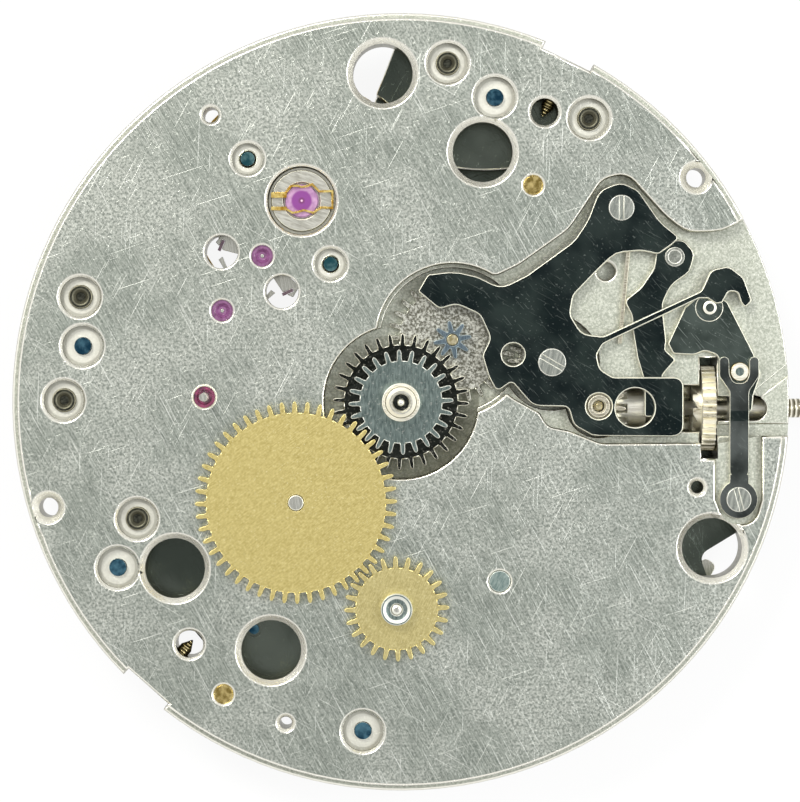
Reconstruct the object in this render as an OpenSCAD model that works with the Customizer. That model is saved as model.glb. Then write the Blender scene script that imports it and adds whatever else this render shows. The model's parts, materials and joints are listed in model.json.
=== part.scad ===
// Hand-wound watch movement, seen and built from the dial side.
// Millimetres. The origin is the movement's centre on the dial face; +Z points out of the
// dial side and +X runs out along the winding stem.

/* [Plate and stack] */
// Casing radius of the main plate
case_r = 18.3; // [18.1:0.1:18.8]
// Radius of the dial face inside the casing step
face_r = 18.02; // [17.9:0.01:18.08]
// Height of the casing step below the dial face
step_h = 0.45; // [0.3:0.05:0.6]
// Thickness of the main plate
plate_t = 2.15; // [2.1:0.01:2.2]
// Distance from the dial face to the back of the bridges
total_t = 4.5; // [4.45:0.01:4.7]
// Depth of the recess that holds the keyless works
recess_d = 0.8; // [0.78:0.01:0.86]
// Depth of the recess that holds the motion works
motion_d = 1.3; // [1.27:0.01:1.36]

/* [Fits] */
// Running clearance between moving flat faces
face_gap = 0.05; // [0.04:0.01:0.06]
// Radial clearance of a shaft in its bore
bore_gap = 0.02; // [0.015:0.005:0.03]
// Width of the bright bevel round a hole
bevel = 0.12; // [0.06:0.01:0.14]

/* [Motion works] */
// Module of the motion works' teeth
motion_m = 0.19; // [0.188:0.001:0.191]
// Thickness of the flat motion wheels
wheel_t = 0.25; // [0.2:0.01:0.27]
// Radius of the hour tube, where the hour hand sits
hour_tube_r = 0.895; // [0.85:0.005:0.92]
// Radius of the cannon pinion, where the minute hand sits
cannon_r = 0.545; // [0.52:0.005:0.56]
// Height of the hour tube above the dial face
hour_tube_h = 1.1; // [1:0.05:1.2]
// Height of the cannon pinion above the dial face
cannon_h = 1.85; // [1.75:0.05:2.1]
// Underside of the brass wheels above the dial face
brass_z = 0.12; // [0.1:0.01:0.2]
// Thickness of the brass wheels
brass_t = 0.3; // [0.25:0.01:0.35]

/* [Keyless works] */
// Thickness of the flat keyless levers
lever_t = 0.3; // [0.26:0.01:0.31]
// Thickness of the jumper plate and the fork spring
leaf_t = 0.25; // [0.2:0.01:0.28]
// Radius of the winding pinion over its teeth
winding_r = 2.04; // [2.02:0.01:2.06]
// Radius of the sliding pinion
clutch_r = 0.95; // [0.9:0.01:0.97]
// Radius of the stem where it runs in the plate
stem_r = 0.61; // [0.6:0.005:0.63]
// Radius of the stem's crown thread
stem_thread_r = 0.45; // [0.42:0.01:0.45]
// Distance from the movement's centre to the end of the stem
stem_end = 21.5; // [20.5:0.1:24]
// Travel of the stem between winding and hand setting
stem_travel = 0.6; // [0.55:0.01:0.62]

/* [Going train] */
// Radius of the barrel drum
barrel_r = 7.15; // [7:0.05:7.2]
// Height of the barrel with its cover
barrel_h = 1.4; // [1.35:0.01:1.42]
// Outer radius of the balance rim
balance_r = 5.84; // [5.7:0.02:5.9]
// Radius of the escape wheel over its teeth
escape_r = 2.58; // [2.55:0.01:2.6]
// Thickness of the ratchet and crown wheels
ratchet_t = 0.38; // [0.34:0.01:0.4]

/* [Hidden] */

$fn = 64;
eps = 0.01;
arc_step = 20;

// Places on the dial side, as [x, y]
centre_at = [0, 0];
minute_at = [2.42, 2.92];
intermediate_at = [7.09, 1.86];
setting_at = [9.3, -0.2];
idler_at = [-4.92, -4.71];
small_hour_at = [-0.2, -9.68];
barrel_at = [4.63, -8.42];
fourth_at = [-9.23, 0.23];
third_at = [-5.35, -2.37];
escape_at = [-8.4, 4.29];
pallet_at = [-6.52, 6.86];
balance_at = [-4.67, 9.46];
jumper_screw_at = [[10.35, 9.12], intermediate_at];
axle_at = [15.92, 1.42];
yoke_at = [12.87, 6.82];
fork_screw_at = [15.86, -4.58];
crown_wheel_at = [10.13, -0.32];

// Counterbored screws of the bridges, whose tips show on the dial side
bridge_screw_at = [[-14.96, 2.63], [4.41, 14.32], [-13.31, -7.78], [-1.79, -15.46]];
// Bridge screws that end inside the plate
blind_screw_at = [[-12.4, 7.2], [15.1, 5.6]];
steady_pin_at = [[-15.07, 4.94], [-15.84, 0.08], [2.19, 15.92], [8.84, 13.32], [-12.39, -5.49]];
pallet_screw_at = [[-7.21, 11.42], [-3.31, 6.48]];
big_hole_at = [[-0.86, 15.43], [3.84, 11.74], [-10.62, -7.81], [-6.1, -11.66], [14.61, -6.86]];
foot_hole_at = [[6.75, 13.62], [-9.93, -11.37]];
case_screw_hole_at = [[13.86, 10.54], [-16.56, -4.96]];
small_hole_at = [[13.91, -4], [-5.41, -15.07]];
pallet_window_at = [[-8.43, 7.05], [-5.59, 5.18]];
peep_hole_at = [-8.94, 13.48];
plug_at = [[6.21, 10.19], [-8.33, -13.72]];

// Tooth counts
hour_teeth = 32;
hour_upper_teeth = 24;
cannon_teeth = 10;
minute_teeth = 30;
minute_leaves = 8;
intermediate_teeth = 20;
setting_teeth = 12;
castle_teeth = 9;
idler_teeth = 48;
small_hour_teeth = 24;
winding_teeth = 34;
breguet_teeth = 10;
crown_teeth = 76;
ratchet_teeth = 97;
barrel_teeth = 60;
centre_leaves = 14;
centre_teeth = 80;
third_leaves = 10;
third_teeth = 75;
fourth_leaves = 10;
fourth_teeth = 80;
escape_leaves = 8;
escape_teeth = 15;

// Modules that follow from two places and two tooth counts
barrel_m = 2 * norm(barrel_at - centre_at) / (barrel_teeth + centre_leaves);
centre_m = 2 * norm(third_at - centre_at) / (centre_teeth + third_leaves);
third_m = 2 * norm(fourth_at - third_at) / (third_teeth + fourth_leaves);
fourth_m = 2 * norm(escape_at - fourth_at) / (fourth_teeth + escape_leaves);
ratchet_m = 2 * norm(crown_wheel_at - barrel_at) / (crown_teeth + ratchet_teeth);

// Levels of the dial side, from the dial face down
leaf_top = -0.15;
leaf_bottom = leaf_top - leaf_t;
lever_top = leaf_bottom - face_gap;
lever_bottom = lever_top - lever_t;
hour_z = -0.6 - wheel_t;
minute_z = hour_z - 0.1 - wheel_t;
setting_t = 0.5;
setting_z = minute_z + wheel_t - setting_t;
stem_z = -plate_t;
stem_y = -0.32;

// Levels of the back, from the parting plane down
train_floor = -1.6;
barrel_top = -1.7;
barrel_bottom = barrel_top - barrel_h;
centre_wheel_z = barrel_bottom - 0.12 - 0.2;
bridge_under = centre_wheel_z - 0.1;
third_wheel_z = centre_wheel_z - 0.15 - 0.18;
train_under = third_wheel_z - 0.1;
fourth_wheel_z = -2.8;
escape_z = -1.92;
pallet_z = -1.95;
balance_z = -3.02;
rim_t = 0.42;
spring_z = -3.42;
cock_under = -3.62;
ratchet_floor = -total_t + ratchet_t + 0.14;
ratchet_z = ratchet_floor - 0.05 - ratchet_t;

// Rotation of the gears at rest, so that each pair is in mesh
function bearing(a, b) = atan2(b.y - a.y, b.x - a.x);
function mesh_phase(a, b, na, phase_a, nb) =
    bearing(a, b) + 180 - (180 - (bearing(a, b) - phase_a) * na) / nb;
setting_phase = asin((stem_y - setting_at.y) / (motion_m * setting_teeth / 2));
intermediate_phase = mesh_phase(setting_at, intermediate_at, setting_teeth, setting_phase,
    intermediate_teeth);
minute_phase = mesh_phase(intermediate_at, minute_at, intermediate_teeth, intermediate_phase,
    minute_teeth);
cannon_phase = mesh_phase(minute_at, centre_at, minute_teeth, minute_phase, cannon_teeth);
minute_pinion_phase = 10;
hour_phase = mesh_phase(minute_at, centre_at, minute_leaves, minute_pinion_phase, hour_teeth);
hour_upper_phase = 2.2;
idler_phase = mesh_phase(centre_at, idler_at, hour_upper_teeth, hour_upper_phase, idler_teeth);
small_hour_phase = mesh_phase(idler_at, small_hour_at, idler_teeth, idler_phase,
    small_hour_teeth);
centre_pinion_phase = mesh_phase(barrel_at, centre_at, barrel_teeth, 0, centre_leaves);
third_pinion_phase = mesh_phase(centre_at, third_at, centre_teeth, 0, third_leaves);
fourth_pinion_phase = mesh_phase(third_at, fourth_at, third_teeth, 0, fourth_leaves);
escape_pinion_phase = mesh_phase(fourth_at, escape_at, fourth_teeth, 0, escape_leaves);
ratchet_phase = mesh_phase(crown_wheel_at, barrel_at, crown_teeth, 0, ratchet_teeth);

// Colours
plated = "#b2bab2";
polished = "#39413f";
steel = "#9aa3a8";
bright_steel = "#d5d8d6";
brass = "#d6be6e";
gilt = "#c9a84e";
blued = "#1f4f7d";
turquoise = "#3f8f9c";
ruby = "#a3305a";
purple = "#8d4aa0";
spring_blue = "#27406b";

// A corner rounded with radius r, between its neighbours a and c
function unit(v) = v / norm(v);
function corner(a, b, c, r) =
    let (u = unit(a - b), v = unit(c - b),
        half = acos(max(-1, min(1, u * v))) / 2,
        t = min(r / tan(half), 0.48 * norm(a - b), 0.48 * norm(c - b)),
        rr = t * tan(half),
        mid = b + unit(u + v) * (rr / sin(half)),
        p = b + u * t,
        q = b + v * t,
        a0 = atan2(p.y - mid.y, p.x - mid.x),
        turn = atan2(q.y - mid.y, q.x - mid.x) - a0,
        sweep = turn > 180 ? turn - 360 : turn < -180 ? turn + 360 : turn,
        n = max(1, ceil(abs(sweep) / arc_step)))
    [for (i = [0 : n]) mid + rr * [cos(a0 + sweep * i / n), sin(a0 + sweep * i / n)]];
// A closed outline whose corners are [x, y, radius]
function rounded(pts) = [for (i = [0 : len(pts) - 1])
    let (n = len(pts), a = pts[(i + n - 1) % n], b = pts[i], c = pts[(i + 1) % n])
    each (b[2] == 0 ? [[b.x, b.y]] : corner([a.x, a.y], [b.x, b.y], [c.x, c.y], b[2]))];

// Outline of a wheel with rounded tooth tips and parallel flanks
function tooth_points(a, pitch_r, half, add, ded) =
    let (root_r = pitch_r - ded, tip_r = pitch_r + add,
        flank = half * pitch_r / root_r)
    [for (p = [[-flank * 1.25, root_r], [-flank, root_r + 0.3 * ded], [-half, pitch_r],
            [-half * 0.72, pitch_r + 0.6 * add], [-half * 0.3, tip_r - 0.06 * add],
            [half * 0.3, tip_r - 0.06 * add], [half * 0.72, pitch_r + 0.6 * add],
            [half, pitch_r], [flank, root_r + 0.3 * ded], [flank * 1.25, root_r]])
        p[1] * [cos(a + p[0]), sin(a + p[0])]];
function gear_points(n, m, phase, share = 0.37, add = 1.05, ded = 1.8) =
    [for (i = [0 : n - 1])
        each tooth_points(phase + i * 360 / n, n * m / 2, share * 180 / n, add * m, ded * m)];

module gear(at, z, t, n, m, phase, share = 0.37, add = 1.05, ded = 1.8) {
    translate([at.x, at.y, z])
        linear_extrude(t)
            polygon(gear_points(n, m, phase, share, add, ded));
}
// A round rod or hole between two heights
module post(at, r, z0, z1) {
    translate([at.x, at.y, min(z0, z1)])
        cylinder(r = r, h = abs(z1 - z0));
}
module cone(at, r0, r1, z0, z1) {
    translate([at.x, at.y, z0])
        cylinder(r1 = r0, r2 = r1, h = z1 - z0);
}
// A drilled hole with a bevelled mouth on the dial face
module bevelled_hole(at, r, depth, mouth = bevel, top = 0) {
    post(at, r, top + eps, top - depth);
    cone(at, r, r + mouth + eps, top - mouth, top + eps);
}
// A flat slab between two heights
module slab(pts, z0, z1) {
    translate([0, 0, z0])
        linear_extrude(z1 - z0)
            polygon(pts);
}
// A rod along the stem's axis between two places
module along_stem(x0, x1, r) {
    translate([x0, stem_y, stem_z])
        rotate([0, 90, 0])
            cylinder(r = r, h = x1 - x0);
}
// Crossed arms inside a wheel's rim
module arms(at, r, w, z, t, n, turn) {
    for (i = [0 : n - 1])
        translate([at.x, at.y, z])
            rotate([0, 0, turn + i * 360 / n])
                translate([0, -w / 2, 0])
                    cube([r, w, t]);
}
module spoked_wheel(at, z, t, n, m, phase, rim_r, hub_r, arm_w, arm_n, turn) {
    difference() {
        gear(at, z, t, n, m, phase, 0.36);
        post(at, rim_r, z - eps, z + t + eps);
    }
    arms(at, rim_r + 0.05, arm_w, z, t, arm_n, turn);
    post(at, hub_r, z, z + t);
}
// A screw head with a straight slot, facing up (side 1) or down (side -1)
module slotted_head(at, r, z, h, side, turn, slot_w = 0.16) {
    difference() {
        post(at, r, z, z + side * h);
        translate([at.x, at.y, z + side * h])
            rotate([0, 0, turn])
                cube([2.2 * r, slot_w, h * 0.9], center = true);
    }
}

// The recess of the keyless works, open at the casing edge
keyless_recess = rounded([
    [-0.4, 4.2, 0], [1.4, 5.9, 0], [4.55, 5.96, 0.3], [5.54, 6.43, 1.5], [7.9, 8.1, 2],
    [8.9, 9.6, 1.6], [9.45, 10.45, 1], [10.6, 10.75, 0.9], [12.4, 8.75, 2],
    [13.4, 7.95, 1.5], [15.1, 8.0, 2], [16.0, 8.5, 0.3], [16.3, 8.78, 0],
    [case_r + 1.7, 8.4, 0], [case_r + 1.7, -1.6, 0],
    [16.93, -1.6, 0], [14.9, -1.95, 0], [13.8, -1.92, 0.5], [9.4, -1.95, 1.2],
    [7.9, -1.35, 0.8], [6.9, -1.15, 0.6], [6.5, -0.5, 0.4], [5.4, 0.1, 0.8], [4.95, 0.42, 0],
    [3.4, -0.6, 0]]);
fork_pocket = rounded([[14.78, -1.2, 0], [14.78, -4.58, 0], [15.2, -5.75, 1.1],
    [16.6, -5.75, 1.1], [16.93, -4.58, 0], [16.93, -1.2, 0]]);
minute_pocket_r = motion_m * (minute_teeth / 2 + 1.05) + 0.35;
pinion_slot_x = [14.08, 14.91];
pinion_slot_y = [-2.67, 2.09];

// Blind hole in the recess floor beside the jumper
recess_hole_at = [9.66, 6.17];
module keyless_cuts() {
    slab(keyless_recess, -recess_d, eps);
    post(centre_at, 3.6, eps, -motion_d);
    post(minute_at, 3.57, eps, -recess_d);
    post(minute_at, minute_pocket_r, -recess_d + eps, -motion_d);
    post(intermediate_at, motion_m * (intermediate_teeth / 2 + 1.05) + 0.15, -recess_d + eps,
        -motion_d);
    post(setting_at, motion_m * (setting_teeth / 2 + 1.05) + 0.15, -recess_d + eps,
        setting_z - face_gap - 0.1);
    slab(fork_pocket, leaf_bottom, eps);
    slab([[16.9, 0.2], [case_r + 0.7, 1.85], [case_r + 0.7, 2.4], [16.7, 0.55]],
        -recess_d - 0.08, -recess_d + eps);
    slab([[14.9, -1.61], [14.9, -1.08], [case_r + 1, -1.03], [case_r + 1, -1.61]],
        -recess_d - 0.08, -recess_d + eps);
    bevelled_hole(recess_hole_at, 0.42, 0.5, 0.08, -recess_d);
    // Slot of the winding pinion and channel of the sliding pinion
    translate([pinion_slot_x[0], pinion_slot_y[0], -plate_t - eps])
        cube([pinion_slot_x[1] - pinion_slot_x[0], pinion_slot_y[1] - pinion_slot_y[0],
            plate_t + 2 * eps]);
    translate([clutch_x0 - 0.12, stem_y - clutch_r - 0.15, -plate_t - eps])
        cube([pinion_slot_x[0] - clutch_x0 + 0.12 + eps, 2 * clutch_r + 0.3,
            plate_t - recess_d + 2 * eps]);
    translate([yoke_tip_x - 0.45, stem_y - 0.5, -plate_t])
        cube([1.5, 1.6, plate_t - recess_d + eps]);
    // Breguet teeth of the winding pinion are wider than the channel
    along_stem(13.3, 14.2, 1.3);
    along_stem(9.05, 10.3, 0.2 + bore_gap);
    // Bearing of the stem and the window over its groove
    along_stem(14.8, case_r + 0.5, stem_r + bore_gap);
    translate([pinion_slot_x[1] - eps, stem_y - 0.56, stem_z])
        cube([16.68 - pinion_slot_x[1], 1.12, plate_t - recess_d + eps]);
    post([16.68, stem_y], 0.56, stem_z, -recess_d + eps);
}

// Places along the stem, in the hand-setting position
clutch_x0 = 10.18;
clutch_x1 = 13.28;
castle_l = 0.52;
groove_x = [11.58, 11.93];
groove_r = 0.55;
yoke_tip_x = (groove_x[0] + groove_x[1]) / 2;
saw_d = 0.22;
winding_x = [14.19, 14.85];
winding_saw_r = 1.13;
stem_square = 0.47;
square_x = [10.72, 14.56];
stem_body_r = 0.33;
peg_x = 16.22;
peg_r = 0.2;
stem_groove_half = 0.28;

// Pockets that the main plate has on its back for the train
module plate_back_cuts() {
    post(barrel_at, barrel_pocket_r, -plate_t - eps, barrel_top + face_gap + 0.02);
    post(centre_at, 2.05, -plate_t - eps, barrel_top + face_gap + 0.02);
    post(escape_at, escape_r + 0.25, -plate_t - eps, train_floor);
    hull_pocket(pallet_at, balance_at, 2.3, 1.7);
    post(balance_at, balance_r + 0.3, -plate_t - eps, -2.05);
    post(pallet_at, 0.6, -plate_t, -0.66);
    post(escape_at, 0.6, -plate_t, -0.66);
    post(fourth_at, 0.7, -plate_t - eps, -0.66);
    post(third_at, 0.6, -plate_t - eps, -1.95);
}
barrel_pocket_r = barrel_m * (barrel_teeth / 2 + 1.05) + 0.15;

// The pocket under the pallet fork, reaching to the balance roller
module hull_pocket(a, b, ra, rb) {
    post(a, ra, -plate_t - eps, train_floor);
    post(b, rb, -plate_t - eps, train_floor);
    translate([a.x, a.y, -plate_t - eps])
        rotate([0, 0, bearing(a, b)])
            translate([0, -rb, 0])
                cube([norm(b - a), 2 * rb, plate_t + train_floor + eps]);
}

edge_notches = [[64.2, 0.45], [228.4, 0.45]];
notch_w = 2.5;

module main_plate() {
    color(plated)
        difference() {
            union() {
                post(centre_at, face_r, 0, -step_h - eps);
                post(centre_at, case_r, -step_h, -plate_t);
            }
            difference() {
                keyless_cuts();
                post(jumper_screw_at[0], 0.95, leaf_bottom, -plate_t);
                post(jumper_screw_at[1], 0.72, leaf_bottom, -plate_t);
            }
            plate_back_cuts();
            for (p = bridge_screw_at) {
                bevelled_hole(p, 0.95, 0.5);
                post(p, 0.42, -0.4, -plate_t - eps);
            }
            for (p = blind_screw_at)
                post(p, 0.42, -1.1, -plate_t - eps);
            for (p = steady_pin_at) {
                bevelled_hole(p, 0.94, 0.5);
                post(p, steady_r + 0.005, -0.4, -plate_t - eps);
            }
            for (p = pallet_screw_at) {
                bevelled_hole(p, 0.73, 0.45);
                post(p, 0.35, -0.4, -plate_t - eps);
            }
            for (p = big_hole_at)
                bevelled_hole(p, 1.41, plate_t + 2 * eps, 0.26);
            for (p = foot_hole_at)
                bevelled_hole(p, 0.64, plate_t + 2 * eps);
            for (i = [0, 1])
                foot_screw_channel(i);
            for (p = case_screw_hole_at)
                bevelled_hole(p, 0.455, plate_t + 2 * eps, 0.33);
            for (p = small_hole_at)
                bevelled_hole(p, 0.29, plate_t + 2 * eps, 0.16);
            for (p = pallet_window_at)
                bevelled_hole(p, 0.78, plate_t + 2 * eps, 0.06);
            bevelled_hole(peep_hole_at, 0.36, plate_t + 2 * eps);
            for (p = plug_at)
                bevelled_hole(p, 0.44, 0.6, 0.09);
            for (p = [pallet_at, escape_at, fourth_at])
                bevelled_hole(p, jewel_r, 0.7, 0.06);
            post(third_at, 0.45, -1.8, -2);
            bevelled_hole(barrel_at, 0.505 + bore_gap, plate_t, 0.05);
            post(centre_at, centre_arbor_r + bore_gap, 0, -plate_t);
            bevelled_hole(balance_at, shock_r, plate_t, 0.1);
            post(minute_at, minute_post_r, -0.5, -1.9);
            post(setting_at, setting_post_r, -0.5, -1.85);
            for (p = jumper_screw_at)
                post(p, 0.3, 0, -1.7);
            post(yoke_at, 0.28, -0.5, -1.7);
            post(axle_at, axle_r + bore_gap, 0, -plate_t - eps);
            post(axle_at, 0.62, -0.5, lever_bottom - 0.3);
            post(yoke_spring_at, 0.25, -0.5, lever_bottom - 0.6);
            post(fork_screw_at, 0.3, 0, -1.4);
            post(idler_at, 0.365, eps, -0.9);
            post(small_hour_at, 0.24, eps, -0.9);
            for (n = edge_notches)
                rotate([0, 0, n[0]])
                    translate([case_r - n[1], -notch_w / 2, -plate_t - eps])
                        cube([2, notch_w, plate_t + 2 * eps]);
        }
}

// Pressed parts of the main plate
jewel_r = 0.51;
pivot_r = 0.08;
steady_r = 0.56;
module hole_jewel(at, r, z, t, hole_r) {
    translate([at.x, at.y, z])
        rotate_extrude()
            polygon([[hole_r, 0], [r, 0], [r, t], [r * 0.72, t], [hole_r + 0.08, t * 0.62],
                [hole_r, t * 0.62]]);
}
module plate_jewels() {
    color(ruby) {
        hole_jewel(pallet_at, jewel_r, -0.6, 0.45, pivot_r + bore_gap);
        hole_jewel(escape_at, jewel_r, -0.6, 0.45, pivot_r + bore_gap);
        hole_jewel(fourth_at, jewel_r, -0.6, 0.45, seconds_r + 0.03 + bore_gap);
        hole_jewel(third_at, 0.45, -1.95, 0.15, pivot_r + bore_gap);
    }
}
module bridge_steady_pins() {
    color(steel)
        for (p = steady_pin_at)
            difference() {
                post(p, steady_r, -0.3, -total_t + 1.1);
                post(p, 0.2, -0.3 + eps, -0.55);
                cone(p, 0.2, 0.37, -0.47, -0.29);
            }
}
foot_screw_r = 0.3;
foot_screw_z = -1;
module radial_rod(at, r, from, to) {
    rotate([0, 0, atan2(at.y, at.x)])
        translate([from, 0, foot_screw_z])
            rotate([0, 90, 0])
                cylinder(r = r, h = to - from);
}
module foot_screw_channel(i) {
    radial_rod(foot_hole_at[i], foot_screw_r + bore_gap, norm(foot_hole_at[i]),
        case_r + 0.7);
}
module dial_foot_screws() {
    color(bright_steel)
        for (at = foot_hole_at)
            difference() {
                union() {
                    radial_rod(at, foot_screw_r, norm(at) + 0.3, case_r - 0.55);
                    rotate([0, 0, atan2(at.y, at.x)])
                        translate([norm(at) - 0.15, 0, foot_screw_z])
                            rotate([0, 90, 0])
                                cylinder(r1 = 0.03, r2 = foot_screw_r, h = 0.46);
                }
                rotate([0, 0, atan2(at.y, at.x)])
                    translate([case_r - 0.7, -0.06, foot_screw_z - 0.4])
                        cube([0.3, 0.12, 0.8]);
            }
}
module plate_plugs() {
    color(gilt)
        for (p = plug_at)
            post(p, 0.44, -0.05, -0.6);
}
// Steel posts that the setting wheel and the minute wheel turn on
module wheel_posts() {
    color(gilt)
        post(minute_at, minute_post_r, minute_pinion_top + 0.03, -1.9);
    color(steel) {
        post(setting_at, setting_post_r, setting_z + setting_t + 0.2, -1.85);
        post(setting_at, 0.16, setting_z + setting_t + 0.19, -0.16);
    }
}
minute_post_r = 0.27;
setting_post_r = 0.25;
minute_pinion_top = -0.5;

// Jumper: the plate over the keyless works, with its hooked detent arm
jumper_outline = rounded([
    [0.78, 5.2, 0.1], [1.25, 6.0, 0.25], [2.5, 6.15, 1.5], [3.6, 5.9, 1], [4.7, 5.35, 0.9],
    [5.9, 5.95, 1.2], [8.1, 7.55, 1], [8.75, 8.5, 2], [9.3, 9.95, 0.9], [10.35, 10.35, 0.8],
    [11.15, 9.95, 0.6], [12.2, 8.45, 1.5], [13.1, 7.72, 0.2], [12.75, 7.4, 0.3], [12.1, 6.93, 0.3],
    [11.3, 7.1, 0.8], [10.1, 7.0, 1], [9.3, 6.25, 1.5], [8.1, 5.0, 0.6], [7.95, 4.1, 0.6],
    [8.5, 3.2, 0.7], [9.5, 3.08, 0.5], [14.1, 5.22, 0.3], [14.55, 6.2, 0.5], [15.4, 6.4, 0.5],
    [16.1, 5.85, 0.5], [16.5, 4.75, 0.2], [16.15, 4.4, 0.15], [15.95, 4.7, 0.1],
    [15.8, 5.16, 0.2], [15.4, 5.2, 0.2], [15.1, 4.66, 0.1], [14.8, 4.6, 0.15],
    [14.4, 4.86, 0.1], [14.0, 4.86, 0.2], [9.5, 2.72, 0.3], [9.2, 2.2, 0.3], [9.35, 1.55, 0.5],
    [9.95, 1.17, 0.4], [13.28, 1.17, 0.45], [13.28, -1.63, 0.5], [9.0, -1.6, 0.6],
    [8.1, -1.1, 0.6], [7.85, -0.23, 0.3], [6.2, -0.2, 0.8], [5.2, 0.95, 0.2], [4.5, 0.45, 0.25],
    [4.1, 1.2, 0.6], [3.8, 2.2, 0.4], [4.2, 3.0, 0.5], [3.7, 4.1, 0.6], [2.6, 4.6, 0.8],
    [1.8, 4.35, 0.4]]);
jumper_window_at = [11, -0.27];
module setting_lever_jumper() {
    color(polished)
        difference() {
            slab(jumper_outline, leaf_bottom, leaf_top);
            for (p = jumper_screw_at)
                post(p, 0.34, -1, 0);
            post(setting_at, 0.6, -1, 0);
            post(jumper_window_at, 0.915, -1, 0);
            post([5.27, 2.23], 0.525, -1, 0);
        }
}
module jumper_screws() {
    color(bright_steel)
        for (i = [0, 1]) {
            slotted_head(jumper_screw_at[i], i == 0 ? 0.61 : 0.66, leaf_top, 0.2, 1,
                i == 0 ? 90 : 150);
            post(jumper_screw_at[i], 0.28, leaf_top + eps, -1.65);
        }
}

// Setting lever, with the peg in the stem's groove and the detent pin
setting_lever_outline = rounded([
    [13.35, 4.45, 0.15], [12.55, 2.75, 0.15], [12.8, 2.25, 0.2], [13.8, 2.2, 0.5],
    [14.3, 2.4, 0.4], [14.9, 2.2, 0.35], [15.05, 1.5, 0.3], [15.55, 0.4, 0.3],
    [15.9, -0.5, 0.2], [16.52, -0.5, 0.2], [16.6, 0.3, 0.3], [16.95, 1.3, 0.4],
    [16.6, 2.3, 0.5], [15.35, 4.75, 0.3], [14.5, 5.1, 0.55], [13.9, 4.9, 0.3]]);
detent_at = [14.5, 4.43];
module setting_lever() {
    color(polished) {
        difference() {
            slab(setting_lever_outline, lever_bottom, lever_top);
            post(axle_at, axle_r + bore_gap, -1, 0);
        }
        post([peg_x, stem_y], peg_r, lever_bottom + eps, stem_z + 0.3 + 0.07);
        post(detent_at, 0.66, lever_top - eps, lever_top + 0.03);
        post(detent_at, 0.27, lever_top, leaf_top + 0.05);
        cone(detent_at, 0.32, 0.2, leaf_top + 0.04, leaf_top + 0.12);
    }
}
axle_r = 0.3;
module setting_lever_axle() {
    color(gilt)
        difference() {
            union() {
                post(axle_at, axle_r, lever_top + 0.3, -total_t + 0.9);
                post(axle_at, 0.43, lever_top + 0.03, lever_top + 0.28);
                post(axle_at, 0.55, lever_bottom - 0.03, lever_bottom - 0.23);
            }
            post(axle_at, 0.2, lever_top + 0.2, lever_top + 0.31);
        }
}
// Fork-shaped leaf that holds the setting lever and its axle down
fork_outline = rounded([
    [15.44, -3.6, 0.4], [15.44, 0.5, 0.3], [14.95, 1.2, 0.3], [14.95, 2.12, 0.22],
    [15.4, 2.12, 0.22], [15.42, 1.3, 0.4], [15.6, 0.88, 0.35], [16.2, 0.88, 0.35],
    [16.36, 1.3, 0.4], [16.36, 2.12, 0.22], [16.81, 2.12, 0.22], [16.81, 1.2, 0.3],
    [16.34, 0.5, 0.3], [16.34, -3.6, 0.4]]);
fork_rise = 0.06;
fork_bend_y = [-0.9, -0.42];
module setting_lever_spring() {
    color(polished)
        difference() {
            union() {
                intersection() {
                    slab(fork_outline, leaf_bottom - 0.1, leaf_top + 0.2);
                    translate([fork_screw_at.x - 2, 0, 0])
                        rotate([90, 0, 90])
                            linear_extrude(4)
                                polygon([[-4, leaf_bottom], [fork_bend_y[0], leaf_bottom],
                                    [fork_bend_y[1], leaf_bottom + fork_rise],
                                    [3, leaf_bottom + fork_rise], [3, leaf_top + fork_rise],
                                    [fork_bend_y[1], leaf_top + fork_rise],
                                    [fork_bend_y[0], leaf_top], [-4, leaf_top]]);
                }
                post(fork_screw_at, 0.9, leaf_bottom, leaf_top);
                slab([[15.44, -3.9], [15.44, -3.4], [16.34, -3.4], [16.34, -3.9]], leaf_bottom,
                    leaf_top);
            }
            post(fork_screw_at, 0.33, -1, 0);
        }
}
module fork_spring_screw() {
    color(bright_steel) {
        slotted_head(fork_screw_at, 0.587, leaf_top, 0.17, 1, 105);
        post(fork_screw_at, 0.28, leaf_top + eps, -1.35);
    }
}

// Yoke that shifts the sliding pinion, and the straight spring behind it
yoke_outline = rounded([
    [12.6, 7.6, 0.4], [13.3, 7.65, 0.5], [13.85, 7.0, 0.5], [13.6, 6.1, 0.6], [12.75, 5.5, 1],
    [12.3, 4.6, 1], [12.5, 2.9, 0.6], [12.45, 2.45, 0.15], [12.95, 1.98, 0.15],
    [12.35, 1.3, 0.4], [12.05, -0.05, 0.3], [12.05, -0.72, 0.15], [11.45, -0.72, 0.15],
    [11.45, 0.9, 0.5], [11.1, 2.1, 1], [10.9, 3.3, 0.8], [10.85, 4.05, 0.5], [10.5, 4.75, 0.25],
    [11.3, 5.4, 0.8], [11.9, 6.3, 0.8], [12.0, 7.1, 0.4]]);
module yoke() {
    color(polished) {
        difference() {
            slab(yoke_outline, lever_bottom, lever_top);
            post(yoke_at, 0.25 + bore_gap, -1, 0);
        }
        translate([yoke_tip_x - 0.115, stem_y - 0.25, stem_z + groove_r + 0.06])
            cube([0.23, 0.5, lever_bottom + eps - (stem_z + groove_r + 0.06)]);
    }
}
module yoke_pin() {
    color(steel) {
        post(yoke_at, 0.25, -1.65, lever_top + 0.03);
        difference() {
            post(yoke_at, 0.46, lever_top + 0.02, lever_top + 0.24);
            post(yoke_at, 0.3, lever_top + 0.21, lever_top + 0.3);
        }
    }
}
yoke_spring_at = [10.75, 7.6];
module yoke_spring() {
    color(bright_steel) {
        a = yoke_spring_at;
        b = [10.3, 2.75];
        translate([a.x, a.y, lever_bottom])
            rotate([0, 0, bearing(a, b)])
                translate([0, -0.1, 0])
                    cube([norm(b - a), 0.2, 0.2]);
        post(a, 0.25, lever_bottom - 0.6, lever_bottom + 0.2);
    }
}

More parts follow.
